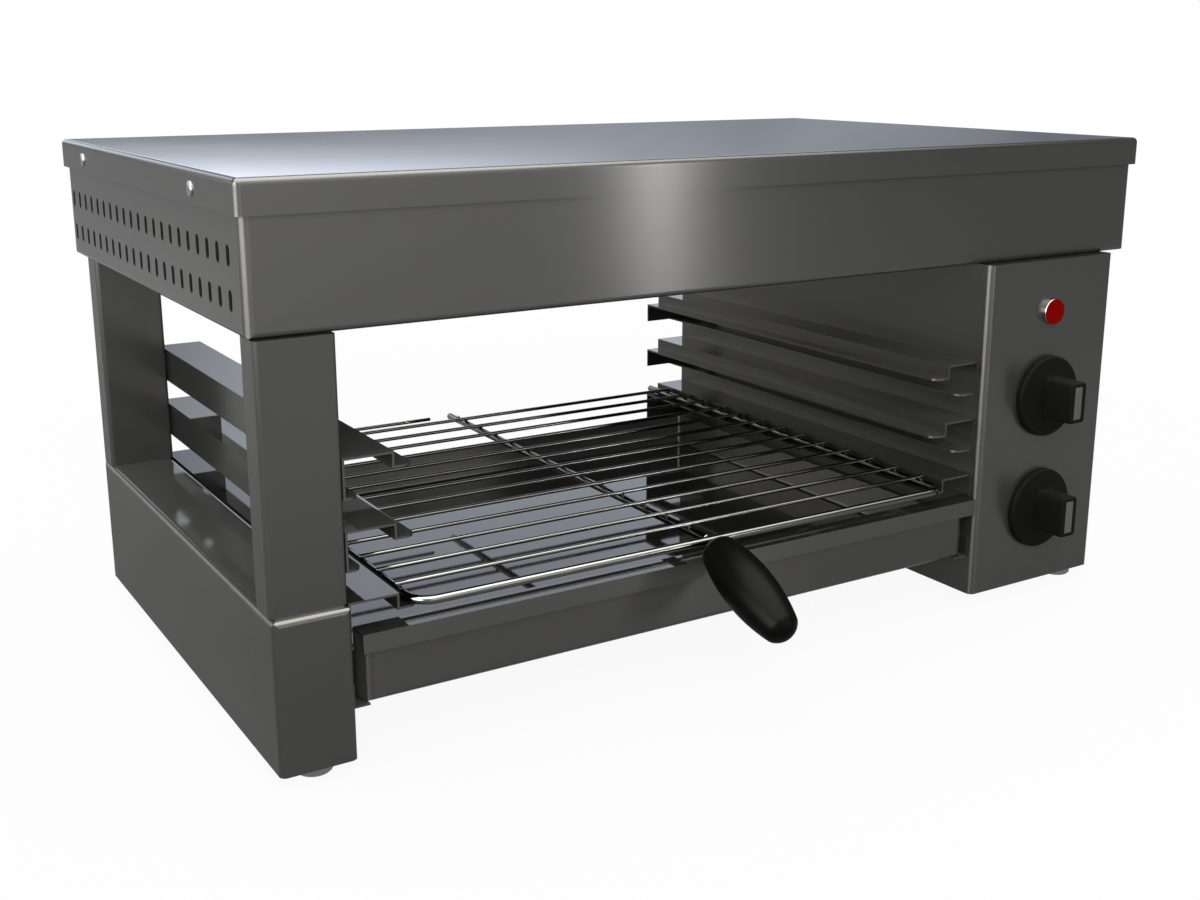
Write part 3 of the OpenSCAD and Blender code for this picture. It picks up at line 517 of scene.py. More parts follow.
@dataclass(frozen=True)
class Shape:
    """A surface in metres: points, four-sided faces and three-sided faces."""

    points: np.ndarray
    quads: np.ndarray
    fans: np.ndarray

    @staticmethod
    def ringed(rings: np.ndarray) -> "Shape":
        """Closed skin over rings.

        Point (row, column) joins its neighbours in the row, which closes on itself, and in the next row.
        Each end is closed by a fan to the mean of its ring.

        Args:
            rings: array of rows, columns and three coordinates.

        Returns:
            The skin with its faces pointing outwards.
        """
        rows, cols = rings.shape[:2]
        index = np.arange(rows * cols).reshape(rows, cols)
        after = np.roll(index, -1, axis=1)
        quads = np.stack([index[:-1], after[:-1], after[1:], index[1:]], axis=-1).reshape(-1, 4)
        first, last = rows * cols, rows * cols + 1
        fans = np.concatenate([
            np.stack([after[0], index[0], np.full(cols, first)], axis=-1),
            np.stack([index[-1], after[-1], np.full(cols, last)], axis=-1)])
        points = np.concatenate([rings.reshape(-1, 3), [rings[0].mean(axis=0)], [rings[-1].mean(axis=0)]])
        made = Shape(points, quads, fans)
        return made if made.volume() > 0 else Shape(points, quads[:, ::-1], fans[:, ::-1])

    @staticmethod
    def turned(along: np.ndarray, radius: np.ndarray, sides: int = 64) -> "Shape":
        """Turned body about Z: each ring is (radius cos a, radius sin a, along)."""
        angle = np.linspace(0.0, 2.0 * np.pi, sides, endpoint=False)
        rings = np.stack([radius[:, None] * np.cos(angle), radius[:, None] * np.sin(angle),
                          np.repeat(along[:, None], sides, axis=1)], axis=-1)
        return Shape.ringed(rings)

    @staticmethod
    def drawn(path: np.ndarray, radius: float, upright: np.ndarray, sides: int = 16,
              dome: float = 0.35) -> "Shape":
        """Wire along a flat path.

        Each ring is the path's point plus radius times (cos a across + sin a upright), where across is the
        tangent times upright. The ends are domes that begin dome radii before the path's ends.

        Args:
            path: points of the wire's axis.
            radius: half the wire's thickness.
            upright: unit vector square to the path's plane.
            sides: points in a ring.
            dome: height of an end's dome, in radii.

        Returns:
            The wire's skin.
        """
        lift = np.linspace(QUARTER * 0.94, 0.0, 5)
        head, tail = (end + (end - inner) / np.linalg.norm(end - inner) * radius * dome
                      * (np.sin(lift) - 1.0)[:, None]
                      for end, inner in ((path[0], path[1]), (path[-1], path[-2])))
        line = np.concatenate([head, path[1:-1], tail[::-1]])
        size = np.concatenate([radius * np.cos(lift), np.full(len(path) - 2, radius),
                               radius * np.cos(lift)[::-1]])
        way = np.gradient(line, axis=0)
        way /= np.linalg.norm(way, axis=1)[:, None]
        across = np.cross(way, upright)
        angle = np.linspace(0.0, 2.0 * np.pi, sides, endpoint=False)
        rings = line[:, None] + size[:, None, None] * (
            np.cos(angle)[None, :, None] * across[:, None] + np.sin(angle)[None, :, None] * upright)
        return Shape.ringed(rings)

    @staticmethod
    def joined(parts: list["Shape"]) -> "Shape":
        """Several surfaces as one."""
        starts = np.cumsum([0] + [len(part.points) for part in parts[:-1]])
        return Shape(np.concatenate([part.points for part in parts]),
                     np.concatenate([part.quads + start for part, start in zip(parts, starts)]),
                     np.concatenate([part.fans + start for part, start in zip(parts, starts)]))

    def volume(self) -> float:
        """Signed volume: a third of the sum of corner times the next two corners' cross product, halved."""
        faces = np.concatenate([self.quads[:, [0, 1, 2]], self.quads[:, [0, 2, 3]], self.fans])
        one, two, three = (self.points[faces[:, k]] for k in range(3))
        return float(np.sum(one * np.cross(two, three)) / 6.0)

    def placed(self, axes: np.ndarray, origin: np.ndarray) -> "Shape":
        """Local x, y and z laid along three axes, then moved to an origin."""
        return Shape(self.points @ axes + origin, self.quads, self.fans)

    def stand(self, name: str, body: str, slot: str, finish: Finish, *nodes: str,
              crease: float = 38.0) -> bpy.types.Object:
        """Puts the surface into the scene.

        Args:
            name: the piece's name.
            body: the CAD body that it rides on.
            slot: the record's material slot; not used.
            finish: its material.
            nodes: CAD nodes that it stands for.
            crease: edges sharper than this stay sharp, in degrees.

        Returns:
            The piece.
        """
        mesh = bpy.data.meshes.new(name)
        mesh.from_pydata(self.points.tolist(), [], self.quads.tolist() + self.fans.tolist())
        mesh.polygons.foreach_set("use_smooth", np.ones(len(mesh.polygons), dtype=bool))
        mesh.set_sharp_from_angle(angle=math.radians(crease))
        mesh.materials.append(finish)
        mesh.update()
        piece = added(name, mesh)
        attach(piece, body)
        if nodes:
            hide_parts(*nodes)
        LOG.info("piece %s: %d points on body %s, finish %s", name, len(self.points), body, finish.name)
        return piece


def added(name: str, data: bpy.types.ID) -> bpy.types.Object:
    """A new object with that data, put into the scene."""
    made = bpy.data.objects.new(name, data)
    bpy.context.scene.collection.objects.link(made)
    return made


def rounded_edge(start: float, radius: float, reach: float, steps: int = 6) -> tuple[np.ndarray, np.ndarray]:
    """Quarter round at a turned body's rim.

    Args:
        start: where the round begins along the axis.
        radius: the body's radius before the round.
        reach: the round's radius.
        steps: points on it.

    Returns:
        Places along the axis, start + reach sin a, and radii, radius - reach (1 - cos a).
    """
    angle = np.linspace(0.0, QUARTER, steps)
    return start + reach * np.sin(angle), radius - reach * (1.0 - np.cos(angle))


def soft_box(width: float, length: float, corner: float, steps: int = 5, guard: float = 0.0) -> np.ndarray:
    """Rectangle with round corners about the origin, as points in a plane, corner by corner.

    Each corner is its centre plus corner times (cos a, sin a) over a quarter turn. With a guard, one more
    point stands that far along each side from the corner's ends, which keeps the side's shading flat.

    Args:
        width: size across.
        length: size along.
        corner: the corners' radius.
        steps: points in a corner.
        guard: distance of the extra points, or 0 for none.

    Returns:
        The points, turning anticlockwise.
    """
    angle = np.linspace(0.0, QUARTER, steps)
    arcs = []
    for quarter, (sx, sy) in enumerate(((1, 1), (-1, 1), (-1, -1), (1, -1))):
        turn = angle + quarter * QUARTER
        arc = np.stack([sx * (width / 2 - corner) + corner * np.cos(turn),
                        sy * (length / 2 - corner) + corner * np.sin(turn)], axis=-1)
        if guard:
            before = np.array([np.sin(turn[0]), -np.cos(turn[0])]) * guard
            after = np.array([-np.sin(turn[-1]), np.cos(turn[-1])]) * guard
            arc = np.concatenate([[arc[0] + before], arc, [arc[-1] + after]])
        arcs.append(arc)
    return np.concatenate(arcs)


def level_ring(outline: np.ndarray, level: float) -> np.ndarray:
    """A flat outline lifted to a level."""
    return np.column_stack([outline, np.full(len(outline), level)])


def face_centre(low: np.ndarray, high: np.ndarray) -> np.ndarray:
    """Middle of a box's rear face, from which knobs and lamp stand out to the front."""
    return np.array([(low[0] + high[0]) / 2, high[1], (low[2] + high[2]) / 2])


@dataclass(frozen=True)
class WireGrid:
    """The grid: bent frame wire, middle rod, cross wires and the weld at each crossing. Lengths in mm."""

    corner: float = 12.0
    cross_count: int = 13
    short_step: float = 12.8
    short_length: float = 159.0
    weld: Point = (1.5, 1.9, 0.8)
    frame_sides: int = 20
    wire_sides: int = 14
    bend_steps: int = 13
    leg_steps: int = 12
    finish: Finish | None = None

    def build(self) -> None:
        """Makes the four pieces of the grid."""
        low, high = (np.array(corner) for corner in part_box("grid_frame"))
        thick = (high[2] - low[2]) / 2
        left, right = low[0] + thick, high[0] - thick
        front, rear, level = low[1] + thick, high[1], (low[2] + high[2]) / 2
        upright = np.array([0.0, 0.0, 1.0])
        path = self.frame_path(left, right, front, rear, level)
        frame = Shape.drawn(path, thick, upright, self.frame_sides)
        frame.stand("frame_wire", "grid", "chrome_wire", self.finish, "grid_frame")
        rod_low, rod_high = (np.array(corner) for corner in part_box("grid_rod"))
        middle = (rod_low[0] + rod_high[0]) / 2
        rod = Shape.drawn(self.straight((middle, rod_low[1], level), (middle, rod_high[1], level)),
                          thick, upright, self.frame_sides)
        rod.stand("middle_rod", "grid", "chrome_wire", self.finish, "grid_rod")
        low, high = (np.array(corner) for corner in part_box("grid_cross_wires"))
        thin = (high[2] - low[2]) / 2
        height = (low[2] + high[2]) / 2
        short = high[1] - thin
        places = np.linspace(short - self.short_step * MM, low[1] + thin, self.cross_count)
        reaches = [(high[0], y) for y in places] + [(low[0] + self.short_length * MM, short)]
        wires = [Shape.drawn(self.straight((low[0], y, height), (reach, y, height)), thin, upright,
                             self.wire_sides) for reach, y in reaches]
        Shape.joined(wires).stand("cross_wires", "grid", "chrome_wire", self.finish, "grid_cross_wires")
        spots = [(x, y) for x in (left, middle, right) for y in places]
        spots += [(left, short), (middle, short)]
        seam = height - thin
        nuggets = [self.nugget().placed(np.eye(3), np.array([x, y, seam])) for x, y in spots]
        Shape.joined(nuggets).stand("weld_spots", "grid", "chrome_wire", self.finish)

    def frame_path(self, left: float, right: float, front: float, rear: float, level: float) -> np.ndarray:
        """U-shaped axis: two legs, a front run and two bends, each its centre plus corner (cos a, sin a)."""
        bend = self.corner * MM
        angle = np.linspace(0.0, QUARTER, self.bend_steps)
        one = np.stack([left + bend - bend * np.cos(angle), front + bend - bend * np.sin(angle)], axis=-1)
        two = np.stack([right - bend + bend * np.sin(angle), front + bend - bend * np.cos(angle)], axis=-1)
        legs = np.linspace(rear, front + bend, self.leg_steps, endpoint=False)
        down = np.stack([np.full(len(legs), left), legs], axis=-1)
        away = np.stack([np.full(len(legs), right), legs[::-1]], axis=-1)
        return level_ring(np.concatenate([down, one, two, away]), level)

    @staticmethod
    def straight(start: Point, end: Point) -> np.ndarray:
        """Seven points on a line from start to end."""
        return np.linspace(start, end, 7)

    def nugget(self) -> Shape:
        """Squeezed metal at a crossing: a ball with three half axes, 8 by 6 faces."""
        lift = np.linspace(-QUARTER * 0.9, QUARTER * 0.9, 6)
        ball = Shape.turned(np.sin(lift), np.cos(lift), 8)
        return Shape(ball.points * np.array(self.weld) * MM, ball.quads, ball.fans)


@dataclass(frozen=True)
class GripHandle:
    """Turned oval handle on the front wire, hanging forward and down. Lengths in mm, slope in degrees."""

    length: float = 73.7
    neck: float = 9.0
    belly: float = 14.5
    belly_share: float = 0.48
    shoulder: float = 11.9
    shoulder_lift: float = 1.2
    tip: float = 11.4
    point: Pair = (0.02, 0.002)
    slope: float = 24.5
    gap: float = 4.1
    steps: int = 72
    finish: Finish | None = None

    def radius(self, along: np.ndarray) -> np.ndarray:
        """Least of three arcs at each place: the barrel, the shoulder's ball and the tip's ball."""
        widest = self.length * self.belly_share
        sag = self.belly - self.neck
        barrel = (widest ** 2 + sag ** 2) / (2.0 * sag)
        body = self.belly - barrel + np.sqrt(barrel ** 2 - (along - widest) ** 2)
        rise = np.clip(self.shoulder - self.shoulder_lift - along, 0.0, self.shoulder)
        upper = np.where(rise > 0, np.sqrt(np.maximum(self.shoulder ** 2 - rise ** 2, 0.0)), self.belly)
        fall = np.clip(along - (self.length - self.tip), 0.0, self.tip)
        lower = np.where(fall > 0, np.sqrt(np.maximum(self.tip ** 2 - fall ** 2, 0.0)), self.belly)
        return np.minimum(body, np.minimum(upper, lower))

    def build(self) -> None:
        """Turns the handle, with a tiny flat at each end, and lays its axis along the slope."""
        least, short = self.point
        share = 0.5 - 0.5 * np.cos(np.linspace(0.0, np.pi, self.steps))
        along = share * (self.length - short)
        low, high = (np.array(corner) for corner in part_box("grid_frame"))
        rod_low, rod_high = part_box("grid_rod")
        start = np.array([(rod_low[0] + rod_high[0]) / 2, low[1] + (high[2] - low[2]) / 2,
                          (low[2] + high[2]) / 2])
        turn = math.radians(self.slope)
        way = np.array([0.0, -math.cos(turn), -math.sin(turn)])
        side = np.array([1.0, 0.0, 0.0])
        shape = Shape.turned(along * MM, np.maximum(self.radius(along), least) * MM, self.steps)
        shape = shape.placed(np.stack([side, np.cross(way, side), way]), start + way * self.gap * MM)
        shape.stand("oval_handle", "grid", "black_grip", self.finish, "handle")


@dataclass(frozen=True)
class ControlKnob:
    """Round skirt with a grip bar and a pale inlay in the bar's front. Lengths in mm."""

    which: str
    skirt: float = 52.5
    skirt_high: float = 4.5
    crown: float = 4.0
    rim: float = 2.0
    back_edge: float = 0.4
    bar: Point = (14.0, 26.0, 27.0)
    root_share: float = 0.45
    sunk: float = 1.3
    corner: float = 2.4
    fillet: float = 1.4
    edge: float = 1.1
    inlay: Point = (6.5, 21.0, 0.8)
    inlay_gap: float = 0.3
    inlay_corner: float = 0.5
    black: Finish | None = None
    pale: Finish | None = None

    def skirt_shape(self) -> Shape:
        """Turned disc: flat back, round rim and a front that rises by a cosine towards the middle."""
        radius = 0.5 * self.skirt
        back = np.array([0.0, 0.0, self.back_edge])
        back_radius = np.array([NEAR_AXIS, radius - self.back_edge, radius])
        rim, rim_radius = rounded_edge(self.skirt_high - self.rim, radius, self.rim, 8)
        share = np.linspace(0.0, 1.0, 12)[1:]
        inner = (radius - self.rim) * (1.0 - share) + NEAR_AXIS
        crown = self.skirt_high + 0.5 * self.crown * (1.0 - np.cos(np.pi * share))
        return Shape.turned(np.concatenate([back, rim, crown]) * MM,
                            np.concatenate([back_radius, rim_radius, inner]) * MM, 96)

    def bar_shape(self) -> Shape:
        """Round-cornered bar.

        Ring by ring up the bar: a hollow fillet at the skirt, straight sides, a quarter round at the front,
        and the recess that holds the inlay.
        """
        width, length, front = self.bar
        angle = np.linspace(0.0, QUARTER, 5)
        root = self.skirt_high + self.root_share * self.crown
        rows = [(root - self.sunk, self.fillet)]
        rows += [(root + self.fillet * (1.0 - math.cos(a)), self.fillet * (1.0 - math.sin(a)))
                 for a in angle]
        rows += [(front - self.edge * (1.0 - math.sin(a)), self.edge * (math.cos(a) - 1.0)) for a in angle]
        rings = [level_ring(soft_box(width + 2 * grow, length + 2 * grow, self.corner + min(grow, 0.0) * 0.9),
                            place) for place, grow in rows]
        wide, high, deep = self.inlay
        recess = soft_box(wide + self.inlay_gap, high + self.inlay_gap, self.inlay_corner)
        rings += [level_ring(recess, front), level_ring(recess, front - deep)]
        return Shape.ringed(np.stack(rings) * MM)

    def inlay_shape(self) -> Shape:
        """Thin slip with round corners and a softened front edge."""
        wide, high, deep = self.inlay
        front = self.bar[2]
        rows = [(front - deep - 0.2, 0.0), (front - 0.25, 0.0), (front - 0.08, -0.08), (front - 0.02, -0.25)]
        rings = [level_ring(soft_box(wide + 2 * grow, high + 2 * grow, 0.9 * self.inlay_corner), place)
                 for place, grow in rows]
        return Shape.ringed(np.stack(rings) * MM)

    def build(self) -> None:
        """Lays local x along X, local y along Z and local z towards the front."""
        low, high = (np.array(corner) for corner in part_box("knob_" + self.which))
        origin = face_centre(low, high)
        body = "knob_" + self.which
        knob = Shape.joined([self.skirt_shape(), self.bar_shape()]).placed(TO_FRONT, origin)
        knob.stand("knob_cap_" + self.which, body, "black_grip", self.black, "knob_" + self.which)
        slip = self.inlay_shape().placed(TO_FRONT, origin)
        slip.stand("knob_slip_" + self.which, body, "pale_inlay", self.pale, "knob_inlay_" + self.which)


@dataclass(frozen=True)
class SignalLamp:
    """Pilot lamp in the panel: turned bezel and low red lens. Lengths in mm."""

    bezel: float = 16.5
    bezel_edge: float = 0.7
    bezel_wall: float = 1.0
    seat: float = 0.3
    lens: float = 16.2
    lens_edge: float = 0.4
    lens_high: float = 1.2
    metal: Finish | None = None
    red: Finish | None = None

    def build(self) -> None:
        """Turns both about the lamp's axis."""
        low, high = (np.array(corner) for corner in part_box("lamp_bezel"))
        origin = face_centre(low, high)
        depth = (high[1] - low[1]) / MM
        seat = depth - self.seat
        edge, edge_radius = rounded_edge(depth - self.bezel_edge, self.bezel / 2, self.bezel_edge)
        along = np.concatenate([[0.0, 0.0], edge, [seat, seat]])
        radius = np.concatenate([[NEAR_AXIS, self.bezel / 2], edge_radius,
                                 [self.bezel / 2 - self.bezel_wall, NEAR_AXIS]])
        Shape.turned(along * MM, radius * MM).placed(TO_FRONT, origin).stand(
            "lamp_ring", "body", "chrome_wire", self.metal, "lamp_bezel")
        turn = QUARTER * np.linspace(0.0, 1.0, 9)[1:]
        edge, edge_radius = rounded_edge(depth + self.lens_edge, self.lens / 2, self.lens_edge)
        rise = 2.0 * self.lens_edge
        dome = depth + rise + (self.lens_high - rise) * np.sin(turn)
        root = depth - 2.0 * self.seat
        along = np.concatenate([[root, root], edge, dome])
        radius = np.concatenate([[NEAR_AXIS, self.lens / 2], edge_radius,
                                 (self.lens / 2 - self.lens_edge) * np.cos(turn) + NEAR_AXIS])
        Shape.turned(along * MM, radius * MM).placed(TO_FRONT, origin).stand(
            "lamp_face", "body", "red_lens", self.red, "lamp_lens")


@dataclass(frozen=True)
class FoldedLid:
    """Top cover: one sheet with a lip all round, its corners drawn to a ball. Lengths in mm."""

    sheet: float = 1.2
    corner: float = 3.4
    fold: float = 3.0
    inner_fold: float = 1.2
    guard: float = 0.6
    support: Pair = (0.4, 0.5)
    sharp: float = 0.25
    core: float = 4.0
    corner_steps: int = 8
    finish: Finish | None = None

    def build(self) -> None:
        """Makes the cover ring by ring: under the top, down the inside, up the outside, over the top."""
        low, high = (np.array(corner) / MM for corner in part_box("lid"))
        width, depth = high[0] - low[0], high[1] - low[1]
        inner = self.side(width, depth, high[2], self.sheet, self.inner_fold)
        outer = self.side(width, depth, high[2], 0.0, self.fold)
        edge = [(low[2], grow, corner) for grow, corner in ((self.sheet, self.corner - self.sheet),
                                                            (0.0, self.corner))]
        rows = inner[::-1] + edge + outer
        middle = (low[:2] + high[:2]) / 2
        rings = [level_ring(soft_box(width - 2 * inset, depth - 2 * inset, corner, self.corner_steps,
                                     self.guard) + middle, level) for level, inset, corner in rows]
        Shape.ringed(np.stack(rings) * MM).stand("folded_lid", "body", "brushed", self.finish, "lid")

    def side(self, width: float, depth: float, top: float, inset: float, fold: float) -> list[Point]:
        """Rows from the wall over the fold to the flat.

        At the angle a the level is top - fold (1 - sin a), and both the inset and the corner's loss are
        fold (1 - cos a). A supporting row just below the fold and one just beside it keep the shading of the
        wall and of the flat even.

        Args:
            width: the lid's width.
            depth: the lid's depth.
            top: level of the lid's upper face.
            inset: how far this skin lies inside the outer one.
            fold: the fold's radius in this skin.

        Returns:
            Level, inset and corner radius of each row.
        """
        below, beside = self.support
        rows = [(top - inset - fold - below, inset, self.corner - inset)]
        for angle in np.linspace(0.0, QUARTER, 9):
            drawn = fold * (1.0 - math.cos(angle))
            rows.append((top - inset - fold * (1.0 - math.sin(angle)), inset + drawn,
                         max(self.corner - inset - drawn, self.sharp)))
        rows.append((top - inset, inset + fold + beside, self.sharp))
        rows.append((top - inset, 0.5 * min(width, depth) - self.core, self.sharp))
        return rows


@dataclass(frozen=True)
class LidScrews:
    """Pan heads in the lid's side lips, two on each side, with their shanks. Lengths in mm."""

    shank: float = 2.0
    reach: float = 10.0
    skirt: float = 0.25
    proud: float = 1.25
    squareness: float = 0.7
    finish: Finish | None = None

    def build(self) -> None:
        """Turns one screw and sets it into each place."""
        low, high = (np.array(corner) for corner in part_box("lid_screws"))
        lid_low, lid_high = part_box("lid")
        head = (high[2] - low[2]) / 2 / MM
        angle = np.linspace(0.0, QUARTER * 0.985, 10)
        along = np.concatenate([[-self.reach, -self.reach, 0.0, 0.0],
                                self.skirt + (self.proud - self.skirt) * np.sin(angle)])
        radius = np.concatenate([[NEAR_AXIS, self.shank, self.shank, head],
                                 head * np.cos(angle) ** self.squareness])
        screw = Shape.turned(along * MM, radius * MM, 32)
        middle = (low[2] + high[2]) / 2
        screws = []
        for face, way in ((lid_low[0], -1.0), (lid_high[0], 1.0)):
            for place in (low[1] + head * MM, high[1] - head * MM):
                axes = np.array([[0.0, way, 0.0], [0.0, 0.0, 1.0], [way, 0.0, 0.0]])
                screws.append(screw.placed(axes, np.array([face, place, middle])))
        Shape.joined(screws).stand("lid_pan_heads", "body", "chrome_wire", self.finish, "lid_screws")


@dataclass(frozen=True)
class Dressing:
    """Which CAD nodes keep their shape and only get a finish."""

    nodes: dict[str, bpy.types.Object]

    def dress(self, finish: Finish, *names: str) -> None:
        """Gives these nodes one finish."""
        for name in names:
            data = self.nodes[name].data
            data.materials.clear()
            data.materials.append(finish)
            LOG.info("node %s wears %s", name, finish.name)


def toward(bearing: float, height: float = 0.0) -> Point:
    """Unit vector at a bearing, turned round Z from the front to the right, then lifted; both in degrees."""
    turn, lift = math.radians(bearing), math.radians(height)
    return (math.sin(turn) * math.cos(lift), -math.cos(turn) * math.cos(lift), math.sin(lift))


@dataclass(frozen=True)
class SoftWall:
    """A bright round patch of the studio's walls, seen in gloss. Angles in degrees."""

    bearing: float
    height: float
    inner: float
    outer: float
    strength: float


@dataclass(frozen=True)
class SoftLamp:
    """One soft lamp: its place, its aim and its face's width and height in metres, and its power in watts."""

    name: str
    place: Point
    aim: Point
    size: Pair
    power: float
    mirrored: bool = False
    tint: Colour = (1.0, 1.0, 1.0)

    def hang(self) -> None:
        """Hangs it. Only a mirrored lamp is itself seen in gloss, which else shows the soft walls alone."""
        data = bpy.data.lights.new(self.name, "AREA")
        data.shape = "RECTANGLE"
        data.size, data.size_y = self.size
        data.energy = self.power
        data.color = self.tint
        made = added(self.name, data)
        made.visible_glossy = self.mirrored
        made.location = self.place
        made.rotation_euler = (Vector(self.aim) - Vector(self.place)).to_track_quat("-Z", "Y").to_euler()


@dataclass(frozen=True)
class Studio:
    """White studio: floor, soft lamps, pale surroundings and the photograph's camera.

    The eye is in metres, its y from the lid's middle. Yaw and pitch are in degrees, and the focal length and
    the centre in pixels of the photograph. A ramp is two strengths and the two places where they hold. Each
    glow of the floor is an axis and its ramp, and the fade is the floor's share of plain white by distance.
    The low band's rise and fall are heights in degrees, and each of its ramps has the bearing it runs along.
    """

    eye: Point = (-0.4928, -0.7944, 0.3472)
    yaw: float = 31.75
    pitch: float = -13.93
    focal_px: float = 1427.6
    centre_px: Pair = (603.2, 408.8)
    frame_px: tuple[int, int] = (1200, 900)
    sensor: float = 36.0
    clip: Pair = (0.02, 60.0)
    lamps: tuple[SoftLamp, ...] = (
        SoftLamp("key_left", (-1.2, -2.6, 1.9), (0.0, 0.0, 0.15), (1.6, 1.6), 48.0),
        SoftLamp("sheen_strip", (1.54, -2.55, 0.37), (-0.05, -0.13, 0.87), (0.08, 0.72), 7.0, mirrored=True),
        SoftLamp("back_left", (-2.0, 2.4, 1.3), (0.0, 0.1, 0.29), (1.6, 1.0), 12.0, tint=(0.92, 0.97, 1.0)),
        SoftLamp("top", (0.2, 0.3, 2.6), (0.0, 0.0, 0.2), (2.0, 2.0), 25.0),
    )
    fill: float = 0.5
    fill_tint: Colour = (0.93, 0.97, 1.0)
    dim: float = 0.2
    patches: tuple[SoftWall, ...] = (
        SoftWall(143.0, 1.0, 1.0, 9.0, 0.05),
        SoftWall(137.0, 4.0, 1.0, 6.0, 0.1),
        SoftWall(183.0, 14.0, 4.0, 11.0, 1.3),
        SoftWall(150.0, 24.0, 6.0, 24.0, 0.95),
        SoftWall(10.0, 6.0, 5.0, 36.0, 2.4),
        SoftWall(-30.0, 80.0, 22.0, 58.0, 10.0),
        SoftWall(-75.0, 5.0, 12.0, 38.0, 17.0),
        SoftWall(-139.0, 11.0, 5.0, 26.0, 1.1),
        SoftWall(-153.0, 4.0, 4.0, 14.0, 1.1),
    )
    band: float = 1.8
    band_rise: Pair = (3.2, 5.6)
    band_fall: Pair = (5.8, 7.4)
    band_ramps: tuple[tuple[float, Ramp], ...] = ((233.0, (0.0, 1.2, 0.07, 0.34)),
                                                  (166.0, (0.0, 1.0, 0.92, 0.955)))
    cast_way: Point = (0.5, 0.866, 0.0)
    cast_places: Pair = (0.6, 0.93)
    warm: Colour = (1.0, 0.99, 0.96)
    cool: Colour = (0.92, 0.99, 1.12)
    floor_half: float = 12.0
    floor_tone: Colour = (0.85, 0.85, 0.85)
    fade: Ramp = (0.93, 1.0, 0.7, 1.6)
    near_glow: Ramp = (0.37, 0.45, 0.35, 0.7)
    glows: tuple[tuple[str, Ramp], ...] = (
        ("Y", (0.3, 0.0, -0.6, -0.1)),
        ("X", (0.2, 0.0, -0.7, -0.38)),
        ("X", (0.0, -0.35, 0.4, 1.1)),
        ("Y", (0.0, -0.25, 1.3, 2.4)),
    )
    right_glow: tuple[tuple[str, Ramp], ...] = (("Y", (0.0, 0.5, 0.4, 1.2)), ("X", (0.0, 1.0, -0.3, 0.2)))
    left_way: Point = (-0.9, -0.45, 0.0)
    left_glow: Ramp = (0.0, 3.0, 1.0, 2.6)

    def camera(self) -> None:
        """Sets up the camera from its place, its two angles and its focal length in pixels."""
        data = bpy.data.cameras.new("camera")
        data.sensor_fit = "HORIZONTAL"
        data.sensor_width = self.sensor
        data.lens = self.focal_px / self.frame_px[0] * self.sensor
        data.shift_x = (self.frame_px[0] / 2 - self.centre_px[0]) / self.frame_px[0]
        data.shift_y = (self.centre_px[1] - self.frame_px[1] / 2) / self.frame_px[0]
        data.clip_start, data.clip_end = self.clip
        made = added("camera", data)
        low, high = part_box("lid")
        made.location = (self.eye[0], (low[1] + high[1]) / 2 + self.eye[1], self.eye[2])
        made.rotation_euler = (math.radians(90.0 + self.pitch), 0.0, math.radians(-self.yaw))
        bpy.context.scene.camera = made

    def surroundings(self) -> None:
        """World: white to the camera, soft walls to gloss, and a plain grey light to everything else.

        In gloss it is neutral all round, with cool daylight behind on the right.
        """
        pen = WorldPen("studio")
        way = pen.node("TexCoord").outputs["Generated"]
        tint = pen.shades(pen.along(way, self.cast_way), self.warm, self.cool, *self.cast_places)
        plain, white = pen.back(self.fill, (*self.fill_tint, 1.0)), pen.back(1.0)
        pen.shown(pen.by_ray(plain, {"Is Glossy Ray": pen.back(self.walls(pen, way), tint),
                                     "Is Transmission Ray": white, "Is Camera Ray": white}))

    def walls(self, pen: NodePen, way: Socket) -> Socket:
        """Brightness of the studio seen in gloss.

        To the dim wall and the low band, each patch adds its strength times a smooth step of the cosine
        between the direction and the patch's middle.

        Args:
            pen: the world's nodes.
            way: direction of the look.

        Returns:
            The strength's socket.
        """
        total = pen.sums(self.low_band(pen, way), self.dim)
        for patch in self.patches:
            near, far = (math.cos(math.radians(angle)) for angle in (patch.inner, patch.outer))
            cosine = pen.along(way, toward(patch.bearing, patch.height))
            total = pen.sums(total, pen.span(cosine, 0.0, patch.strength, far, near, smooth=True))
        return total

    def low_band(self, pen: NodePen, way: Socket) -> Socket:
        """A low strip of light behind.

        The product of four ramps: up with the height and down again, brighter with the bearing from 147 to
        163 degrees, and none more than 23 degrees away from the bearing 166.

        Args:
            pen: the world's nodes.
            way: direction of the look.

        Returns:
            The strip's strength.
        """
        height = pen.parts(way)["Z"]
        rise, fall = ([math.sin(math.radians(angle)) for angle in ramp]
                      for ramp in (self.band_rise, self.band_fall))
        strength = pen.span(height, 0.0, self.band, *rise, smooth=True)
        strength = pen.sums(strength, pen.span(height, 1.0, 0.0, *fall, smooth=True), "MULTIPLY")
        for bearing, ramp in self.band_ramps:
            strength = pen.sums(strength, pen.span(pen.along(way, toward(bearing)), *ramp), "MULTIPLY")
        return strength

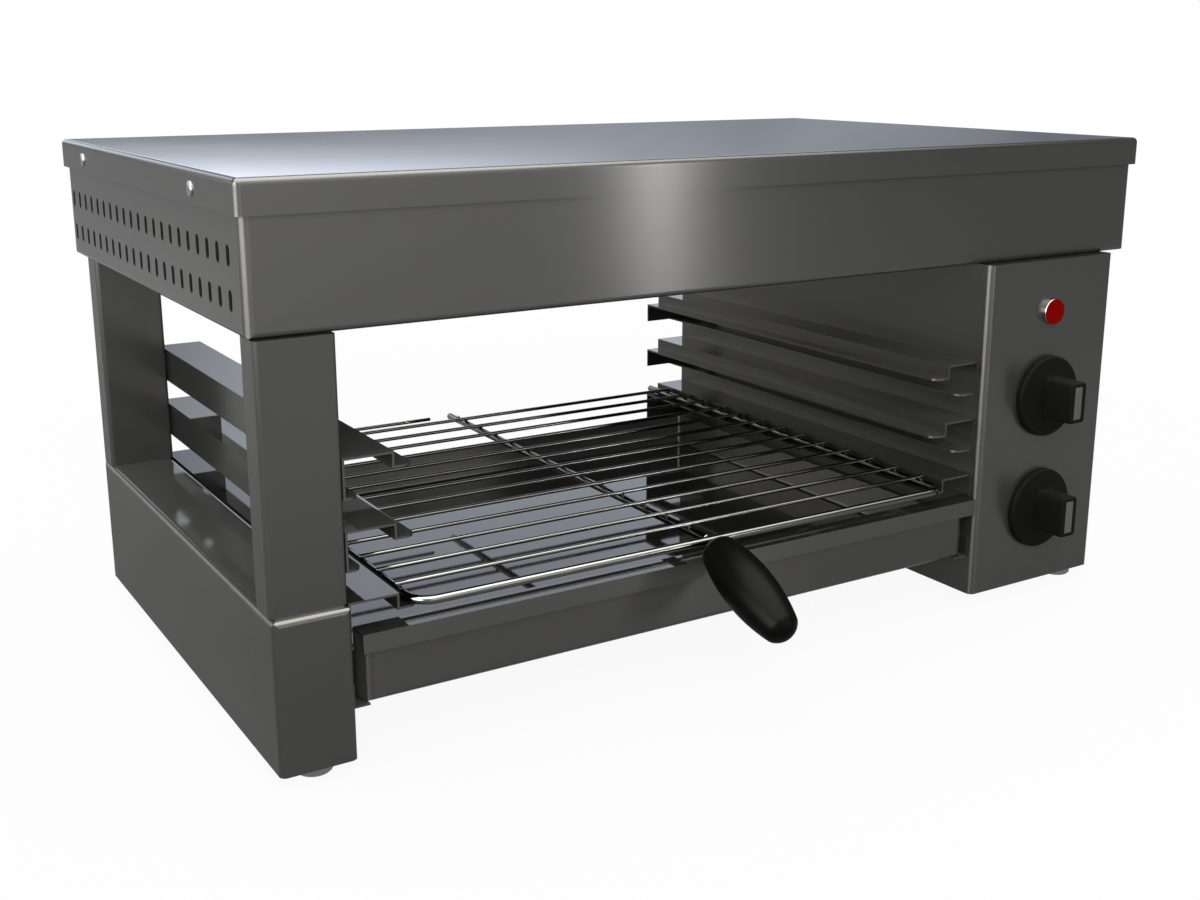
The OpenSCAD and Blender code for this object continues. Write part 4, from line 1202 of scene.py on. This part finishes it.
    def floor(self) -> None:
        """Pale floor that shows white, keeps a faint shadow near the object and is dimmer in gloss."""
        half = self.floor_half
        mesh = bpy.data.meshes.new("floor")
        corners = [(-half, -half, 0.0), (half, -half, 0.0), (half, half, 0.0), (-half, half, 0.0)]
        mesh.from_pydata(corners, [], [(0, 1, 2, 3)])
        made = added("floor", mesh)
        pen = NodePen("studio_floor")
        place = pen.place()
        reach = pen.node("VectorMath", {0: place}, operation="LENGTH").outputs["Value"]
        matt = pen.node("BsdfDiffuse", {"Color": (*self.floor_tone, 1.0)}).outputs["BSDF"]
        white, dimmed = (pen.node("Emission", {"Strength": strength}).outputs["Emission"]
                         for strength in (1.0, self.floor_glow(pen, place, reach)))
        seen = pen.mixed(pen.span(reach, *self.fade), matt, white)
        pen.shown(pen.by_ray(matt, {"Is Glossy Ray": dimmed, "Is Camera Ray": seen}))
        mesh.materials.append(pen.material)

    def floor_glow(self, pen: NodePen, place: Socket, reach: Socket) -> Socket:
        """Brightness of the floor seen in gloss.

        A ramp with the distance, the ramps along X and Y, a bright part behind on the right and another far
        off on the left are added up.

        Args:
            pen: the floor's nodes.
            place: where the floor is looked at.
            reach: distance from the origin.

        Returns:
            The strength's socket.
        """
        axes = pen.parts(place)
        glow = pen.span(reach, *self.near_glow)
        for way, ramp in self.glows:
            glow = pen.sums(glow, pen.span(axes[way], *ramp))
        back, right = (pen.span(axes[way], *ramp) for way, ramp in self.right_glow)
        aside = pen.span(pen.along(place, self.left_way), *self.left_glow)
        return pen.sums(pen.sums(glow, pen.sums(back, right, "MULTIPLY")), aside)

    def set_up(self) -> None:
        """Camera, floor, surroundings and lamps."""
        self.camera()
        self.floor()
        self.surroundings()
        for lamp in self.lamps:
            lamp.hang()
        view = bpy.context.scene.view_settings
        view.view_transform = "Standard"


def main() -> None:
    """Loads the frame, dresses it and sets up the studio."""
    logging.basicConfig(level=logging.INFO, format="%(name)s: %(message)s")
    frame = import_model()
    finishes = Workshop.stocked()
    wardrobe = Dressing(frame["nodes"])
    wardrobe.dress(finishes.sheet, "lid", "hood_shell", "reflector", "control_housing",
                   "housing_floor", "side_cover", "base_floor", "element_strap_left",
                   "element_strap_right")
    wardrobe.dress(finishes.upright, "front_post", "rear_post")
    wardrobe.dress(finishes.base, "base_box")
    wardrobe.dress(finishes.tray, "crumb_tray", "cross_member_front", "cross_member_rear")
    wardrobe.dress(finishes.rail, "tray_rail")
    wardrobe.dress(finishes.runner, "ledge_left", "ledge_right", "runner_left_upper",
                   "runner_left_middle", "runner_right_upper", "runner_right_middle")
    wardrobe.dress(finishes.low_runner, "runner_left_lower", "runner_right_lower")
    wardrobe.dress(finishes.wire, "grid_frame", "grid_cross_wires", "grid_rod", "handle_stud",
                   "shaft_upper", "shaft_lower")
    wardrobe.dress(finishes.screw, "lid_screws", "cover_screws", "lamp_bezel", "foot_front_left",
                   "foot_rear_left", "foot_front_right", "foot_rear_right")
    wardrobe.dress(finishes.black, "handle", "knob_upper", "knob_lower", "regulator_upper",
                   "regulator_lower", "cable_gland", "lamp_body")
    wardrobe.dress(finishes.inlay, "knob_inlay_upper", "knob_inlay_lower")
    wardrobe.dress(finishes.lens, "lamp_lens")
    wardrobe.dress(finishes.heater, "heating_element_front", "heating_element_rear")
    wardrobe.dress(finishes.ceramic, "terminal_block")
    FoldedLid(finish=finishes.sheet).build()
    LidScrews(finish=finishes.screw).build()
    WireGrid(finish=finishes.wire).build()
    GripHandle(finish=finishes.grip).build()
    ControlKnob("upper", black=finishes.black, pale=finishes.inlay).build()
    ControlKnob("lower", black=finishes.black, pale=finishes.inlay).build()
    SignalLamp(metal=finishes.screw, red=finishes.lens).build()
    Studio().set_up()


if __name__ == "__main__":
    main()
